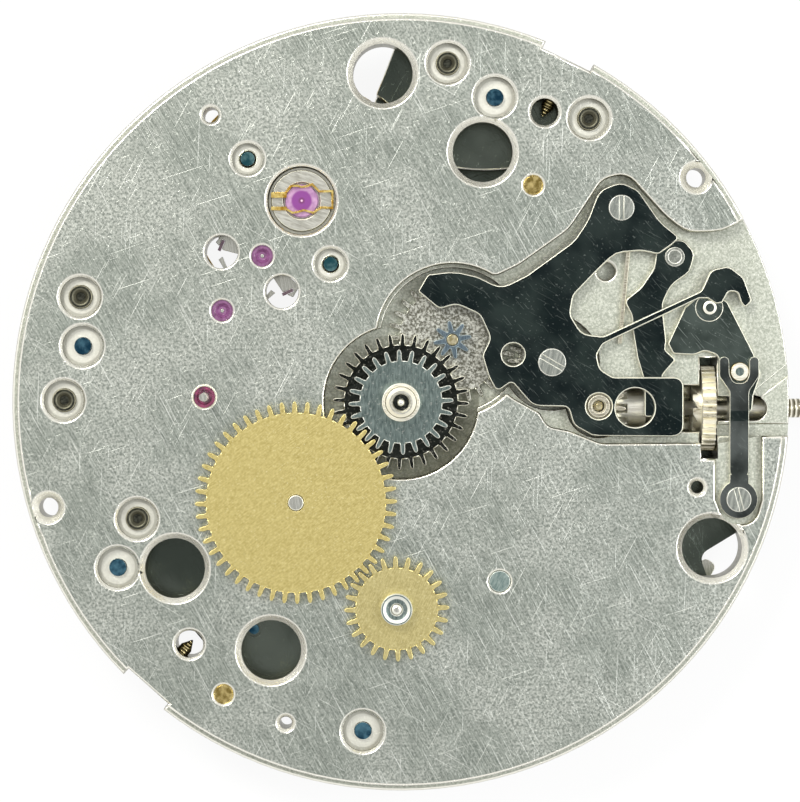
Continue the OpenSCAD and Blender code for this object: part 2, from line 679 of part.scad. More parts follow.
// Sliding pinion: castle teeth for setting, a groove, and saw teeth for winding
module turned_x(x, angle) {
    translate([x, stem_y, stem_z])
        rotate([angle, 0, 0])
            children();
}
module sliding_pinion() {
    color(steel)
        difference() {
            union() {
                along_stem(clutch_x0 + castle_l, groove_x[0], clutch_r);
                along_stem(groove_x[0] - eps, groove_x[1] + eps, groove_r);
                along_stem(groove_x[1], clutch_x1 - saw_d, clutch_r);
                intersection() {
                    along_stem(clutch_x0, clutch_x0 + castle_l + eps, clutch_r);
                    for (i = [0 : castle_teeth - 1])
                        turned_x(clutch_x0, (i + 0.5) * 360 / castle_teeth)
                            translate([0, -0.11, 0.45])
                                cube([castle_l + eps, 0.22, 1]);
                }
                intersection() {
                    along_stem(clutch_x1 - saw_d - eps, clutch_x1, clutch_r);
                    for (i = [0 : breguet_teeth - 1])
                        turned_x(clutch_x1 - saw_d, i * 360 / breguet_teeth)
                            translate([0, 0, 0.6])
                                linear_extrude(1)
                                    polygon([[-eps, 0.05], [saw_d, 0.05], [0, 0.36],
                                        [-eps, 0.36]]);
                }
            }
            translate([clutch_x0 - 1, stem_y, stem_z])
                rotate([45, 0, 0])
                    translate([0, -stem_square / 2 - 0.03, -stem_square / 2 - 0.03])
                        cube([5, stem_square + 0.06, stem_square + 0.06]);
        }
}
module winding_pinion() {
    color(gilt)
        difference() {
            union() {
                translate([winding_x[0], stem_y, stem_z])
                    rotate([0, 90, 0])
                        linear_extrude(winding_x[1] - winding_x[0])
                            polygon(winding_points);
                along_stem(winding_x[0] - 0.4, winding_x[0] + eps, winding_saw_r);
            }
            for (i = [0 : breguet_teeth - 1])
                turned_x(winding_x[0] - 0.4, i * 360 / breguet_teeth)
                    translate([0, 0, 0.5])
                        linear_extrude(1)
                            polygon([[-eps, 0], [saw_d + 0.03, 0], [0, 0.42], [-eps, 0.42]]);
            along_stem(winding_x[0] - 0.41, winding_x[0] - 0.4 + saw_d + 0.05, 0.64);
            along_stem(winding_x[0] - 1, winding_x[1] + 1, stem_body_r + bore_gap);
        }
}
winding_m = 2 * (winding_r - 0.12) / winding_teeth;
winding_points = gear_points(winding_teeth, winding_m, 180 / winding_teeth, 0.3, 0.12 / winding_m,
    0.14 / winding_m);

module winding_stem() {
    color(bright_steel) {
        along_stem(9.75, square_x[0] + eps, 0.2);
        translate([square_x[0], stem_y, stem_z])
            rotate([45, 0, 0])
                translate([0, -stem_square / 2, -stem_square / 2])
                    cube([square_x[1] - square_x[0], stem_square, stem_square]);
        along_stem(square_x[1] - eps, 15.5, stem_body_r);
        along_stem(15.48, peg_x - stem_groove_half, stem_r);
        along_stem(peg_x - stem_groove_half - eps, peg_x + stem_groove_half + eps, 0.3);
        along_stem(peg_x + stem_groove_half, case_r + 0.05, stem_r);
        along_stem(case_r + 0.04, stem_end, stem_thread_r);
    }
}

// Setting train
module setting_wheel() {
    color(steel)
        difference() {
            union() {
                gear(setting_at, setting_z, setting_t, setting_teeth, motion_m, setting_phase,
                    0.36);
                post(setting_at, 0.52, setting_z + setting_t - eps, -0.17);
            }
            post(setting_at, setting_post_r + bore_gap, setting_z - eps, -0.3);
            post(setting_at, 0.33, -0.35, 0);
        }
}
module intermediate_setting_wheel() {
    color(steel)
        difference() {
            gear(intermediate_at, minute_z, wheel_t, intermediate_teeth, motion_m,
                intermediate_phase);
            post(intermediate_at, 0.72 + bore_gap, -2, 0);
        }
}
module minute_wheel() {
    color(steel)
        difference() {
            union() {
                gear(minute_at, minute_z, wheel_t, minute_teeth, motion_m, minute_phase);
                gear(minute_at, minute_z + wheel_t - eps, minute_pinion_top - minute_z - wheel_t,
                    minute_leaves, motion_m, minute_pinion_phase, 0.34, 0.8);
            }
            post(minute_at, minute_post_r + bore_gap, -2, 0);
        }
}

// Centre: cannon pinion and hour wheel
cannon_body_r = 0.71;
centre_arbor_r = 0.37;
module cannon_pinion() {
    color(steel)
        difference() {
            union() {
                gear(centre_at, minute_z - 0.03, wheel_t + 0.08, cannon_teeth, motion_m,
                    cannon_phase, 0.34, 0.8, 1.6);
                post(centre_at, cannon_body_r, minute_z + wheel_t + 0.04, hour_tube_h + 0.02);
                cone(centre_at, cannon_body_r, cannon_r, hour_tube_h + 0.01, hour_tube_h + 0.16);
                post(centre_at, cannon_r, hour_tube_h + 0.15, cannon_h);
            }
            post(centre_at, centre_arbor_r + bore_gap, -3, cannon_h - 0.4);
            post(centre_at, 0.467, cannon_h - 0.41, cannon_h + eps);
        }
}
module hour_wheel() {
    color(steel)
        difference() {
            union() {
                gear(centre_at, hour_z, wheel_t, hour_teeth, motion_m, hour_phase);
                gear(centre_at, brass_z, brass_t, hour_upper_teeth, motion_m, hour_upper_phase);
                post(centre_at, hour_tube_r, hour_z, hour_tube_h);
                post(centre_at, 1.3, hour_z + wheel_t - eps, brass_z + eps);
            }
            post(centre_at, cannon_body_r + bore_gap, -2, hour_tube_h + eps);
        }
}

// Hour train over the dial face
module hour_idler_wheel() {
    color(brass)
        difference() {
            gear(idler_at, brass_z, brass_t, idler_teeth, motion_m, idler_phase);
            post(idler_at, 0.365 + bore_gap, 0, 1);
        }
}
module idler_post() {
    color(bright_steel) {
        post(idler_at, 0.365, -0.9, brass_z + brass_t + 0.1);
        post(idler_at, 0.75, 0, brass_z - 0.03);
    }
}
small_hour_tube_r = 0.746;
small_hour_shank_r = 0.58;
module small_hour_wheel() {
    color(brass)
        difference() {
            gear(small_hour_at, brass_z, brass_t, small_hour_teeth, motion_m, small_hour_phase);
            post(small_hour_at, small_hour_shank_r, 0, 1);
        }
}
module small_hour_tube() {
    color(steel)
        difference() {
            union() {
                post(small_hour_at, small_hour_shank_r, brass_z - eps, brass_z + brass_t + eps);
                post(small_hour_at, small_hour_tube_r, brass_z + brass_t, 0.95);
                post(small_hour_at, 1, 0.03, brass_z);
            }
            post(small_hour_at, 0.24 + bore_gap, 0, 2);
            cone(small_hour_at, 0.5, 0.66, 0.88, 0.96);
        }
}
module small_hour_post() {
    color(bright_steel) {
        post(small_hour_at, 0.24, -0.9, 0.9);
        cone(small_hour_at, 0.24, 0.13, 0.9, 0.98);
    }
}

// Shock settings of the balance
shock_r = 1.615;
module lower_shock_block() {
    color(bright_steel)
        difference() {
            union() {
                post(balance_at, 1.45, -0.32, -0.75);
                post(balance_at, shock_r - 0.005, -0.7, -1.5);
            }
            post(balance_at, 0.86, -0.15, -0.75);
            post(balance_at, 0.15, 0, -2);
            translate([balance_at.x - 1.7, balance_at.y - 0.36, -0.5])
                cube([3.4, 0.72, 0.4]);
        }
}
module lower_cap_jewel() {
    color(purple) {
        difference() {
            post(balance_at, 0.8, -0.75, -0.55);
            post(balance_at, 0.1, -1, -0.6);
        }
        post(balance_at, 0.74, -0.56, -0.33);
    }
}
// Lyre-shaped flat wire over the cap jewel
lyre_upper = [[1.42, 0.45], [0.83, 0.43], [0.5, 0.77], [0.28, 0.68], [0, 0.64], [-0.2, 0.7],
    [-0.5, 0.68], [-0.77, 0.32]];
lyre_lower = [[1.42, -0.34], [0.93, -0.32], [0.54, -0.57], [0.32, -0.5], [0.1, -0.45],
    [-0.2, -0.54], [-0.43, -0.57], [-0.77, -0.36]];
module wire_strip(path, w, z0, z1) {
    for (i = [0 : len(path) - 2])
        translate([path[i].x, path[i].y, z0]) {
            rotate([0, 0, bearing(path[i], path[i + 1])])
                translate([0, -w / 2, 0])
                    cube([norm(path[i + 1] - path[i]), w, z1 - z0]);
            cylinder(r = w / 2, h = z1 - z0, $fn = 16);
        }
}
module lower_shock_spring() {
    color(gilt)
        translate([balance_at.x, balance_at.y, 0]) {
            wire_strip(lyre_upper, 0.1, -0.3, -0.2);
            wire_strip(lyre_lower, 0.1, -0.3, -0.2);
            translate([1.4, -0.41, -0.3])
                cube([0.1, 0.9, 0.1]);
            translate([-1.44, 0.135, -0.3])
                cube([0.74, 0.25, 0.1]);
            translate([-1.44, -0.46, -0.3])
                cube([0.74, 0.18, 0.1]);
        }
}

// Back of the movement
train_bridge_outline = rounded([
    [-17.2, -3.0, 1], [-17.9, 1, 4], [-16.9, 6.4, 1.2], [-14.4, 9.6, 1], [-12.6, 8.9, 1],
    [-11.1, 7.2, 0.8], [-9.9, 5.7, 0.8], [-7.7, 6.1, 1.2], [-6.9, 3.9, 1.2], [-5.6, 2.4, 2],
    [-1.5, 1.6, 1.5], [1.3, 1.5, 1.2], [1.6, -0.9, 1.2], [-0.5, -1.6, 0.8], [-2.6, -6.6, 1.4],
    [-6.5, -7.0, 1.4], [-10.2, -4.3, 1]]);
train_foot_outline = rounded([
    [-17.2, -3.0, 1], [-17.9, 1, 4], [-16.9, 6.4, 1.2], [-14.4, 9.6, 1], [-12.6, 8.9, 1],
    [-11.1, 7.2, 0.8], [-12.2, 5.2, 0.5], [-13.8, 2.5, 1], [-13.8, -2.2, 1]]);
barrel_bridge_outline = rounded([
    [1.75, -0.75, 0.6], [1.55, 2.0, 0.8], [3.2, 6.4, 1], [8.2, 9.6, 1], [12.4, 10.4, 1.2],
    [16.6, 7.0, 1.2], [17.9, 2.2, 1], [17.9, -2.5, 2], [17.0, -5.6, 1],
    [14.2, -7.3, 0.5], [14.9, -9.4, 1], [10.9, -14.0, 4],
    [3.6, -17.6, 4], [-3.2, -17.4, 2], [-4.9, -14.4, 1.2], [-8.9, -12.0, 1.2],
    [-10.6, -10.0, 1], [-14.7, -9.6, 1.2],
    [-14.9, -6.2, 1], [-12.0, -4.5, 0.5], [-10.1, -4.9, 0.8], [-6.4, -7.25, 1.6],
    [-2.4, -6.85, 1.6], [-0.25, -1.7, 1]]);
cock_outline = rounded([
    [-5.2, 7.6, 1.2], [-6.8, 9.2, 1], [-5.4, 11.4, 1.4], [-2.2, 11.6, 1.2], [-1.25, 14.4, 1],
    [-0.05, 17.5, 0.5], [5.0, 17.0, 1.5], [10.1, 14.6, 1], [9.6, 11.7, 0.8], [5.6, 10.0, 1.2],
    [2.0, 9.9, 1.5], [-1.0, 8.1, 2]]);
pallet_bridge_outline = rounded([
    [-2.4, 6.9, 0.6], [-3.6, 7.35, 0.6], [-5.4, 7.5, 0.5], [-6.1, 8.4, 1.0], [-6.3, 11.0, 0.6],
    [-6.6, 12.3, 0.6], [-7.9, 12.3, 0.6], [-8.1, 10.9, 0.8], [-7.45, 8.2, 0.8],
    [-7.45, 6.3, 0.7], [-6.0, 6.1, 0.5], [-3.8, 5.7, 0.6], [-2.5, 5.6, 0.6]]);
cock_screw_i = 1;
small_screw_at = [-6.99, -10.83];
small_screw_r = 0.24;
head_r = 0.95;

module screw_seat(at, tube_r = 0.47) {
    post(at, tube_r, -total_t - eps, -plate_t + eps);
    post(at, head_r + 0.04, -total_t - eps, -total_t + 0.52);
}
module pin_seat(at) {
    post(at, steady_r + 0.005, -plate_t + eps, -total_t + 1);
}

module train_bridge() {
    color(plated)
        difference() {
            union() {
                slab(train_bridge_outline, -total_t, train_under);
                slab(train_foot_outline, -total_t, -plate_t);
            }
            post(fourth_at, balance_clear(fourth_teeth * fourth_m / 2), train_under - eps,
                -plate_t + eps);
            screw_seat(bridge_screw_at[0]);
            screw_seat(blind_screw_at[0]);
            pin_seat(steady_pin_at[0]);
            pin_seat(steady_pin_at[1]);
            for (p = [centre_at, third_at, fourth_at, escape_at])
                bridge_jewel_hole(p);
        }
}
function balance_clear(r) = r + 0.4;
module bridge_jewel_hole(p) {
    post(p, 0.6, train_under + eps, -total_t - eps);
}
module barrel_bridge() {
    ratchet_r = ratchet_m * (ratchet_teeth / 2 + 1.05) + 0.12;
    crown_r = ratchet_m * (crown_teeth / 2 + 1.05) + 0.12;
    color(plated)
        difference() {
            slab(barrel_bridge_outline, -total_t, -plate_t);
            difference() {
                post(barrel_at, barrel_pocket_r, bridge_under, 0);
            }
            post(centre_at, centre_m * (centre_teeth / 2 + 1.05) + 0.2, bridge_under, 0);
            post(third_at, third_m * (third_teeth / 2 + 1.05) + 0.2, train_under, 0);
            post(barrel_at, 0.8 + bore_gap, 0, -total_t);
            post(barrel_at, ratchet_r, ratchet_floor, -total_t - eps);
            post(crown_wheel_at, crown_r, ratchet_floor, -total_t - eps);
            post(crown_wheel_at, 0.3, -total_t, -total_t + 1.4);
            translate([pinion_slot_x[0], stem_y - winding_r - 0.3, stem_z - winding_r - 0.1])
                cube([pinion_slot_x[1] - pinion_slot_x[0], 2 * winding_r + 0.6, total_t]);
            along_stem(clutch_x0 - 0.2, pinion_slot_x[0] + eps, 1.25);
            along_stem(9.05, 10.3, 0.2 + bore_gap);
            along_stem(14.8, case_r + 0.5, stem_r + bore_gap);
            click_pocket();
            post(click_at, 0.3, -total_t, -total_t + 1.3);
            post(axle_at, axle_r + 0.15, -total_t - eps, 0);
            for (i = [2, 3])
                screw_seat(bridge_screw_at[i]);
            screw_seat(blind_screw_at[1]);
            post(small_screw_at, small_screw_r + 0.01, -total_t - eps, -plate_t + eps);
            post(small_screw_at, 0.36, -plate_t - 0.14, -plate_t + eps);
            post(small_screw_at, 0.5, -total_t - eps, -total_t + 0.3);
            pin_seat(steady_pin_at[4]);
        }
}
module balance_cock() {
    color(plated)
        difference() {
            union() {
                slab(cock_outline, -total_t, cock_under);
                intersection() {
                    slab(cock_outline, -total_t, -plate_t);
                    difference() {
                        post([4, 20], 9, -total_t, -plate_t);
                        post(balance_at, balance_r + 0.35, 0, -total_t);
                    }
                }
            }
            screw_seat(bridge_screw_at[cock_screw_i]);
            pin_seat(steady_pin_at[2]);
            pin_seat(steady_pin_at[3]);
            post(balance_at, 1.25, 0, -total_t - eps);
            post(stud_at, 0.26, 0, -total_t - eps);
        }
}
module pallet_bridge() {
    color(plated)
        difference() {
            slab(pallet_bridge_outline, -2.5, -2.08);
            for (p = pallet_screw_at) {
                post(p, 0.38, 0, -3);
                post(p, 0.62, -2.36, -3);
            }
            post(pallet_at, 0.4, 0, -3);
        }
    color(plated)
        for (p = pallet_screw_at)
            difference() {
                post(p, 0.7, -2.09, -2.05);
                post(p, 0.38, 0, -3);
            }
}
module bridge_screws() {
    color(blued) {
        for (p = bridge_screw_at) {
            slotted_head(p, head_r, -total_t + 0.5, 0.42, -1, 35);
            post(p, 0.4, -total_t + 0.5 - eps, -0.3);
        }
        for (p = blind_screw_at) {
            slotted_head(p, head_r, -total_t + 0.5, 0.42, -1, 70);
            post(p, 0.4, -total_t + 0.5 - eps, -1.15);
        }
        slotted_head(small_screw_at, 0.47, -total_t + 0.29, 0.24, -1, 10);
        post(small_screw_at, small_screw_r, -total_t + 0.28, -plate_t - 0.03);
    }
}
module pallet_bridge_screws() {
    color(turquoise)
        for (p = pallet_screw_at) {
            slotted_head(p, 0.58, -2.37, 0.18, -1, 20, 0.12);
            post(p, 0.33, -2.38, -0.28);
        }
}
module bridge_jewels() {
    color(ruby) {
        for (p = [third_at, fourth_at, escape_at])
            bridge_jewel(p, 0.6, -total_t + 0.1, train_under - 0.02);
        post_ring(centre_at, 0.6, 0.2 + bore_gap, -total_t + 0.1, train_under - 0.02);
        bridge_jewel(pallet_at, 0.4, -2.48, -2.12);
    }
}
module bridge_jewel(at, r, z0, z1) {
    post_ring(at, r, pivot_r + bore_gap, z0, z1);
}
module post_ring(at, r, hole_r, z0, z1) {
    difference() {
        post(at, r, z0, z1);
        post(at, hole_r, z0 - eps, z1 + eps);
    }
}

// Barrel
module barrel_drum() {
    color(brass)
        difference() {
            union() {
                gear(barrel_at, barrel_top - 0.35, 0.35, barrel_teeth, barrel_m, 0, 0.36);
                post(barrel_at, barrel_r, barrel_top, barrel_bottom);
            }
            post(barrel_at, barrel_r - 0.35, barrel_top - 0.3, barrel_bottom - eps);
            post(barrel_at, 0.8 + bore_gap, 0, -4);
        }
}
module barrel_cover() {
    color(brass)
        post_ring(barrel_at, barrel_r - 0.36, 0.8 + bore_gap, barrel_bottom, barrel_bottom + 0.17);
}
module barrel_arbor() {
    color(steel) {
        post(barrel_at, 0.505, -0.03, barrel_top - 0.03);
        post(barrel_at, 0.8, barrel_top + 0.02, ratchet_floor - 0.03);
        post(barrel_at, 1.7, barrel_top - 0.34, barrel_bottom + 0.2);
        difference() {
            translate([barrel_at.x - 0.5, barrel_at.y - 0.5, ratchet_z + 0.05])
                cube([1, 1, ratchet_floor - ratchet_z]);
            post(barrel_at, 0.3, -5, ratchet_floor);
        }
    }
}
spring_turns = 8;
spring_steps = 24;
function spiral(r0, r1, turns, w, steps) =
    let (n = turns * steps,
        side = function (s) [for (i = [0 : n])
            let (a = i * 360 / steps, r = r0 + (r1 - r0) * i / n + s * w / 2)
            r * [cos(a), sin(a)]],
        inner = side(-1))
    concat(side(1), [for (i = [0 : n]) inner[n - i]]);
module mainspring() {
    color(spring_blue)
        translate([barrel_at.x, barrel_at.y, barrel_bottom + 0.22])
            linear_extrude(barrel_h - 0.22 - 0.35)
                polygon(spiral(1.85, barrel_r - 0.5, spring_turns, 0.14, spring_steps));
}

// Ratchet work
module ratchet_wheel() {
    color(steel)
        difference() {
            gear(barrel_at, ratchet_z, ratchet_t, ratchet_teeth, ratchet_m, ratchet_phase, 0.33,
                1, 1.5);
            translate([barrel_at.x - 0.51, barrel_at.y - 0.51, -6])
                cube([1.02, 1.02, 3]);
        }
}
module ratchet_screw() {
    color(blued) {
        slotted_head(barrel_at, 1.5, ratchet_z, 0.08, -1, 50, 0.2);
        post(barrel_at, 0.28, ratchet_z - eps, ratchet_floor - 0.06);
    }
}
module crown_wheel() {
    color(steel)
        difference() {
            gear(crown_wheel_at, ratchet_z, ratchet_t, crown_teeth, ratchet_m, 0, 0.33, 1, 2.4);
            post(crown_wheel_at, 1.2 + bore_gap, -6, 0);
        }
}
module crown_wheel_core() {
    color(blued) {
        post(crown_wheel_at, 1.2, ratchet_floor, ratchet_z - 0.02);
        slotted_head(crown_wheel_at, 1.5, ratchet_z - 0.02, 0.07, -1, 15, 0.2);
        post(crown_wheel_at, 0.28, ratchet_floor - eps, -total_t + 1.35);
    }
}
click_at = [12.6, -10.2];
ratchet_pitch = 360 / ratchet_teeth;
nose_angle = ratchet_phase + (round((-15 - ratchet_phase) / ratchet_pitch) + 0.5) * ratchet_pitch;
// A point of the click's nose, at a radius from the ratchet's centre and to one side
function nose(r, side) = barrel_at + r * [cos(nose_angle), sin(nose_angle)]
    + side * [-sin(nose_angle), cos(nose_angle)];
function with_r(p, r) = [p.x, p.y, r];
nose_r = ratchet_m * (ratchet_teeth / 2 - 1);
click_outline = rounded([with_r(nose(nose_r, -0.04), 0), with_r(nose(nose_r + 0.25, -0.07), 0.1),
    with_r(nose(nose_r + 0.8, -0.4), 0.5), [12.0, -10.75, 0.3], [10.9, -12.1, 1],
    [8.9, -13.45, 0.05], [9.0, -13.62, 0.05], [11.2, -12.3, 1], [12.5, -11.0, 0.4],
    [13.6, -10.8, 0.5], [15.2, -7.9, 0.3], [14.6, -7.55, 0.3], [13.2, -9.3, 0.5], [12.1, -9.4, 0.4],
    with_r(nose(nose_r + 0.8, 0.4), 0.5), with_r(nose(nose_r + 0.25, 0.07), 0.1),
    with_r(nose(nose_r, 0.04), 0)]);
module click_pocket() {
    slab(rounded([[9.6, -9.0, 0.3], [12.8, -8.9, 0.6], [13.9, -7.0, 0.4], [15.6, -6.9, 0.4],
        [15.6, -8.9, 0.4], [14.0, -11.3, 0.6], [12.4, -11.6, 0.5],
        [11.2, -12.9, 1], [8.9, -14.2, 0.4], [8.2, -13.2, 0.3]]), -total_t - eps, ratchet_floor);
}
module click() {
    color(steel)
        difference() {
            slab(click_outline, ratchet_z, ratchet_floor - 0.03);
            post(click_at, 0.33, -6, 0);
        }
}
module click_screw() {
    color(blued) {
        slotted_head(click_at, 0.55, ratchet_z, 0.08, -1, 60, 0.14);
        post(click_at, 0.28, ratchet_z - eps, -total_t + 1.25);
    }
}

// Going train
module centre_wheel() {
    color(brass)
        spoked_wheel(centre_at, centre_wheel_z, 0.2, centre_teeth, centre_m, 0, 4.55, 1.5, 0.6, 5,
            20);
    color(steel) {
        gear(centre_at, centre_wheel_z + 0.19, barrel_top - 0.02 - centre_wheel_z - 0.19,
            centre_leaves, barrel_m, centre_pinion_phase, 0.33, 0.85, 1.5);
        post(centre_at, centre_arbor_r, barrel_top - 0.03, cannon_h - 0.5);
        post(centre_at, 0.175, cannon_h - 0.51, cannon_h - 0.1);
        post(centre_at, 0.45, centre_wheel_z + eps, train_under + 0.03);
        post(centre_at, 0.2, train_under + 0.04, -total_t + 0.12);
    }
}
module third_wheel() {
    color(brass)
        spoked_wheel(third_at, third_wheel_z, 0.18, third_teeth, third_m, 0, 3.5, 0.9, 0.45, 4, 10);
    color(steel) {
        gear(third_at, third_wheel_z + 0.17, centre_wheel_z + 0.25 - third_wheel_z - 0.17,
            third_leaves, centre_m, third_pinion_phase, 0.34, 0.85, 1.5);
        post(third_at, 0.3, centre_wheel_z + 0.24, -1.98);
        post(third_at, pivot_r, -1.99, -1.84);
        post(third_at, 0.25, third_wheel_z + eps, train_under + 0.03);
        post(third_at, pivot_r, train_under + 0.04, -total_t + 0.12);
    }
}
seconds_r = 0.18;
seconds_h = 1.1;
module fourth_wheel() {
    color(brass)
        spoked_wheel(fourth_at, fourth_wheel_z, 0.16, fourth_teeth, fourth_m, 0, 3.2, 0.8, 0.4, 4,
            30);
    color(steel) {
        gear(fourth_at, third_wheel_z - 0.03, 0.3, fourth_leaves, third_m, fourth_pinion_phase,
            0.34, 0.85, 1.5);
        post(fourth_at, 0.3, third_wheel_z + 0.26, -0.65);
        post(fourth_at, seconds_r + 0.03, -0.66, -0.16);
        cone(fourth_at, seconds_r + 0.03, seconds_r, -0.17, 0.37);
        post(fourth_at, seconds_r, 0.36, seconds_h);
        post(fourth_at, 0.25, third_wheel_z, train_under + 0.03);
        post(fourth_at, pivot_r, train_under + 0.04, -total_t + 0.12);
    }
}
// Club-toothed escape wheel, turning anticlockwise seen from the dial side
escape_root_r = 1.95;
function escape_points() = [for (i = [0 : escape_teeth - 1])
    let (a = escape_phase - i * 360 / escape_teeth)
    for (p = [[7, escape_root_r], [0, escape_r - 0.13], [4.6, escape_r], [6.2, escape_r - 0.18],
            [12, escape_root_r]])
        p[1] * [cos(a - p[0]), sin(a - p[0])]];
escape_phase = 24;
module escape_wheel() {
    color(steel) {
        difference() {
            translate([escape_at.x, escape_at.y, escape_z])
                linear_extrude(0.16)
                    polygon(escape_points());
            post(escape_at, 1.6, -4, 0);
        }
        arms(escape_at, 1.65, 0.28, escape_z, 0.16, 4, 25);
        post(escape_at, 0.5, escape_z, escape_z + 0.16);
        gear(escape_at, fourth_wheel_z - 0.1, 0.36, escape_leaves, fourth_m, escape_pinion_phase,
            0.34, 0.85, 1.5);
        post(escape_at, 0.2, fourth_wheel_z + 0.25, -0.65);
        post(escape_at, pivot_r, -0.66, -0.3);
        post(escape_at, 0.2, fourth_wheel_z - 0.09, train_under + 0.03);
        post(escape_at, pivot_r, train_under + 0.04, -total_t + 0.12);
    }
}

// Pallet fork, drawn with the escape wheel behind it and the balance ahead
function from_pallet(p) = let (a = bearing(pallet_at, balance_at))
    [pallet_at.x + p.x * cos(a) - p.y * sin(a), pallet_at.y + p.x * sin(a) + p.y * cos(a)];
fork_arm = [[0.5, 0.25], [2.1, 0.14], [2.35, 0.42], [2.75, 0.42], [2.7, 0.16], [2.45, 0.16],
    [2.45, -0.16], [2.7, -0.16], [2.75, -0.42], [2.35, -0.42], [2.1, -0.14], [0.5, -0.25],
    [0.1, -0.5], [-0.15, -2.2], [-0.75, -2.25], [-0.85, -1.75], [-0.35, -0.45], [-0.35, 0.45],
    [-0.85, 1.75], [-0.75, 2.25], [-0.15, 2.2], [0.1, 0.5]];
module pallet_fork() {
    color(steel) {
        difference() {
            slab([for (p = fork_arm) from_pallet(p)], pallet_z, pallet_z + 0.2);
            for (s = [-1, 1])
                pallet_slot(s, 0.16, 0.01, 2);
        }
        post(pallet_at, 0.16, -2.08, -0.65);
        post(pallet_at, pivot_r, -0.66, -0.3);
        post(pallet_at, pivot_r, -2.07, -2.45);
    }
}
module pallet_slot(s, w, grow, l) {
    at = from_pallet([-0.6, s * 1.97]);
    translate([at.x, at.y, pallet_z - 0.03 + grow - 0.02])
        rotate([0, 0, bearing(pallet_at, balance_at) + 180 + s * (s > 0 ? 12 : 30)])
            translate([-0.15 - grow, -w / 2 - grow, 0])
                cube([l, w + 2 * grow, 0.27]);
}
module pallet_stones() {
    color("#d8a8d8")
        for (s = [-1, 1])
            pallet_slot(s, 0.15, 0, 0.55);
}

// Balance
balance_arm_turn = 60;
module balance_wheel() {
    color(gilt) {
        post_ring(balance_at, balance_r, balance_r - 0.62, balance_z, balance_z + rim_t);
        difference() {
            union() {
                arms(balance_at, balance_r - 0.5, 0.55, balance_z + 0.12, 0.18, 3,
                    balance_arm_turn);
                post(balance_at, 0.9, balance_z + 0.12, balance_z + 0.3);
            }
            post(balance_at, 0.3, -5, 0);
        }
    }
}
module balance_staff() {
    color(steel) {
        post(balance_at, 0.3, balance_z - 0.3, -1.95);
        post(balance_at, 0.5, balance_z + 0.3, balance_z + 0.4);
        post(balance_at, 0.62, -2.14, -2.3);
        cone(balance_at, 0.2, 0.1, -1.96, -1.6);
        post(balance_at, 0.06, -1.62, -0.62);
        cone(balance_at, 0.1, 0.2, -3.75, balance_z - 0.29);
        post(balance_at, 0.06, -4.2, -3.7);
        post(from_pallet([2.62, 0]), 0.1, pallet_z - 0.03, -2.15);
        post(balance_at, 0.72, -2.14, -2.24);
    }
}
coil_turns = 5;
coil_w = 0.05;
coil_r = [0.62, 2.98];
coil_gap = (coil_r[1] - coil_r[0]) / coil_turns - coil_w;
echo(hairspring_gap = coil_gap);
module hairspring() {
    color(spring_blue)
        translate([balance_at.x, balance_at.y, spring_z]) {
            linear_extrude(0.14)
                polygon(spiral(coil_r[0], coil_r[1], coil_turns, coil_w, 30));
            difference() {
                cylinder(r = 0.6, h = 0.14);
                translate([0, 0, -eps])
                    cylinder(r = 0.3, h = 1);
            }
        }
}
stud_at = [balance_at.x + 3.12, balance_at.y];
module hairspring_stud() {
    color(bright_steel)
        post(stud_at, 0.22, spring_z - 0.05, -total_t + 0.1);
}
module regulator() {
    color(steel) {
        difference() {
            union() {
                post(balance_at, 1.75, cock_under + 0.05, cock_under + 0.17);
                translate([balance_at.x, balance_at.y, cock_under + 0.05])
                    rotate([0, 0, 200])
                        translate([0, -0.25, 0])
                            cube([4.4, 0.5, 0.12]);
            }
            post(balance_at, 1.22 + bore_gap, 0, -6);
        }
    }
}
module upper_shock_setting() {
    color(bright_steel)
        difference() {
            post(balance_at, 1.22, spring_z - 0.04, -total_t + 0.05);
            post(balance_at, 0.35, 0, -3.8);
            post(balance_at, 0.08, 0, -total_t + 0.2);
        }
}

main_plate();
plate_jewels();
bridge_steady_pins();
dial_foot_screws();
plate_plugs();
wheel_posts();
setting_lever_jumper();
jumper_screws();
setting_lever();
setting_lever_axle();
setting_lever_spring();
fork_spring_screw();
yoke();
yoke_pin();
yoke_spring();
sliding_pinion();
winding_pinion();
winding_stem();
setting_wheel();
intermediate_setting_wheel();
minute_wheel();
cannon_pinion();
hour_wheel();
hour_idler_wheel();
idler_post();
small_hour_wheel();
small_hour_tube();
small_hour_post();
lower_shock_block();
lower_cap_jewel();
lower_shock_spring();
barrel_bridge();
train_bridge();
balance_cock();
pallet_bridge();
bridge_screws();
pallet_bridge_screws();
bridge_jewels();
barrel_drum();
barrel_cover();
barrel_arbor();
mainspring();
ratchet_wheel();
ratchet_screw();
crown_wheel();
crown_wheel_core();
click();
click_screw();
centre_wheel();
third_wheel();
fourth_wheel();
escape_wheel();
pallet_fork();
pallet_stones();
balance_wheel();
balance_staff();
hairspring();
hairspring_stud();
regulator();
upper_shock_setting();
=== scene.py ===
# Watch movement, dial side up: finishes, fine pieces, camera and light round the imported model.
import json
import math

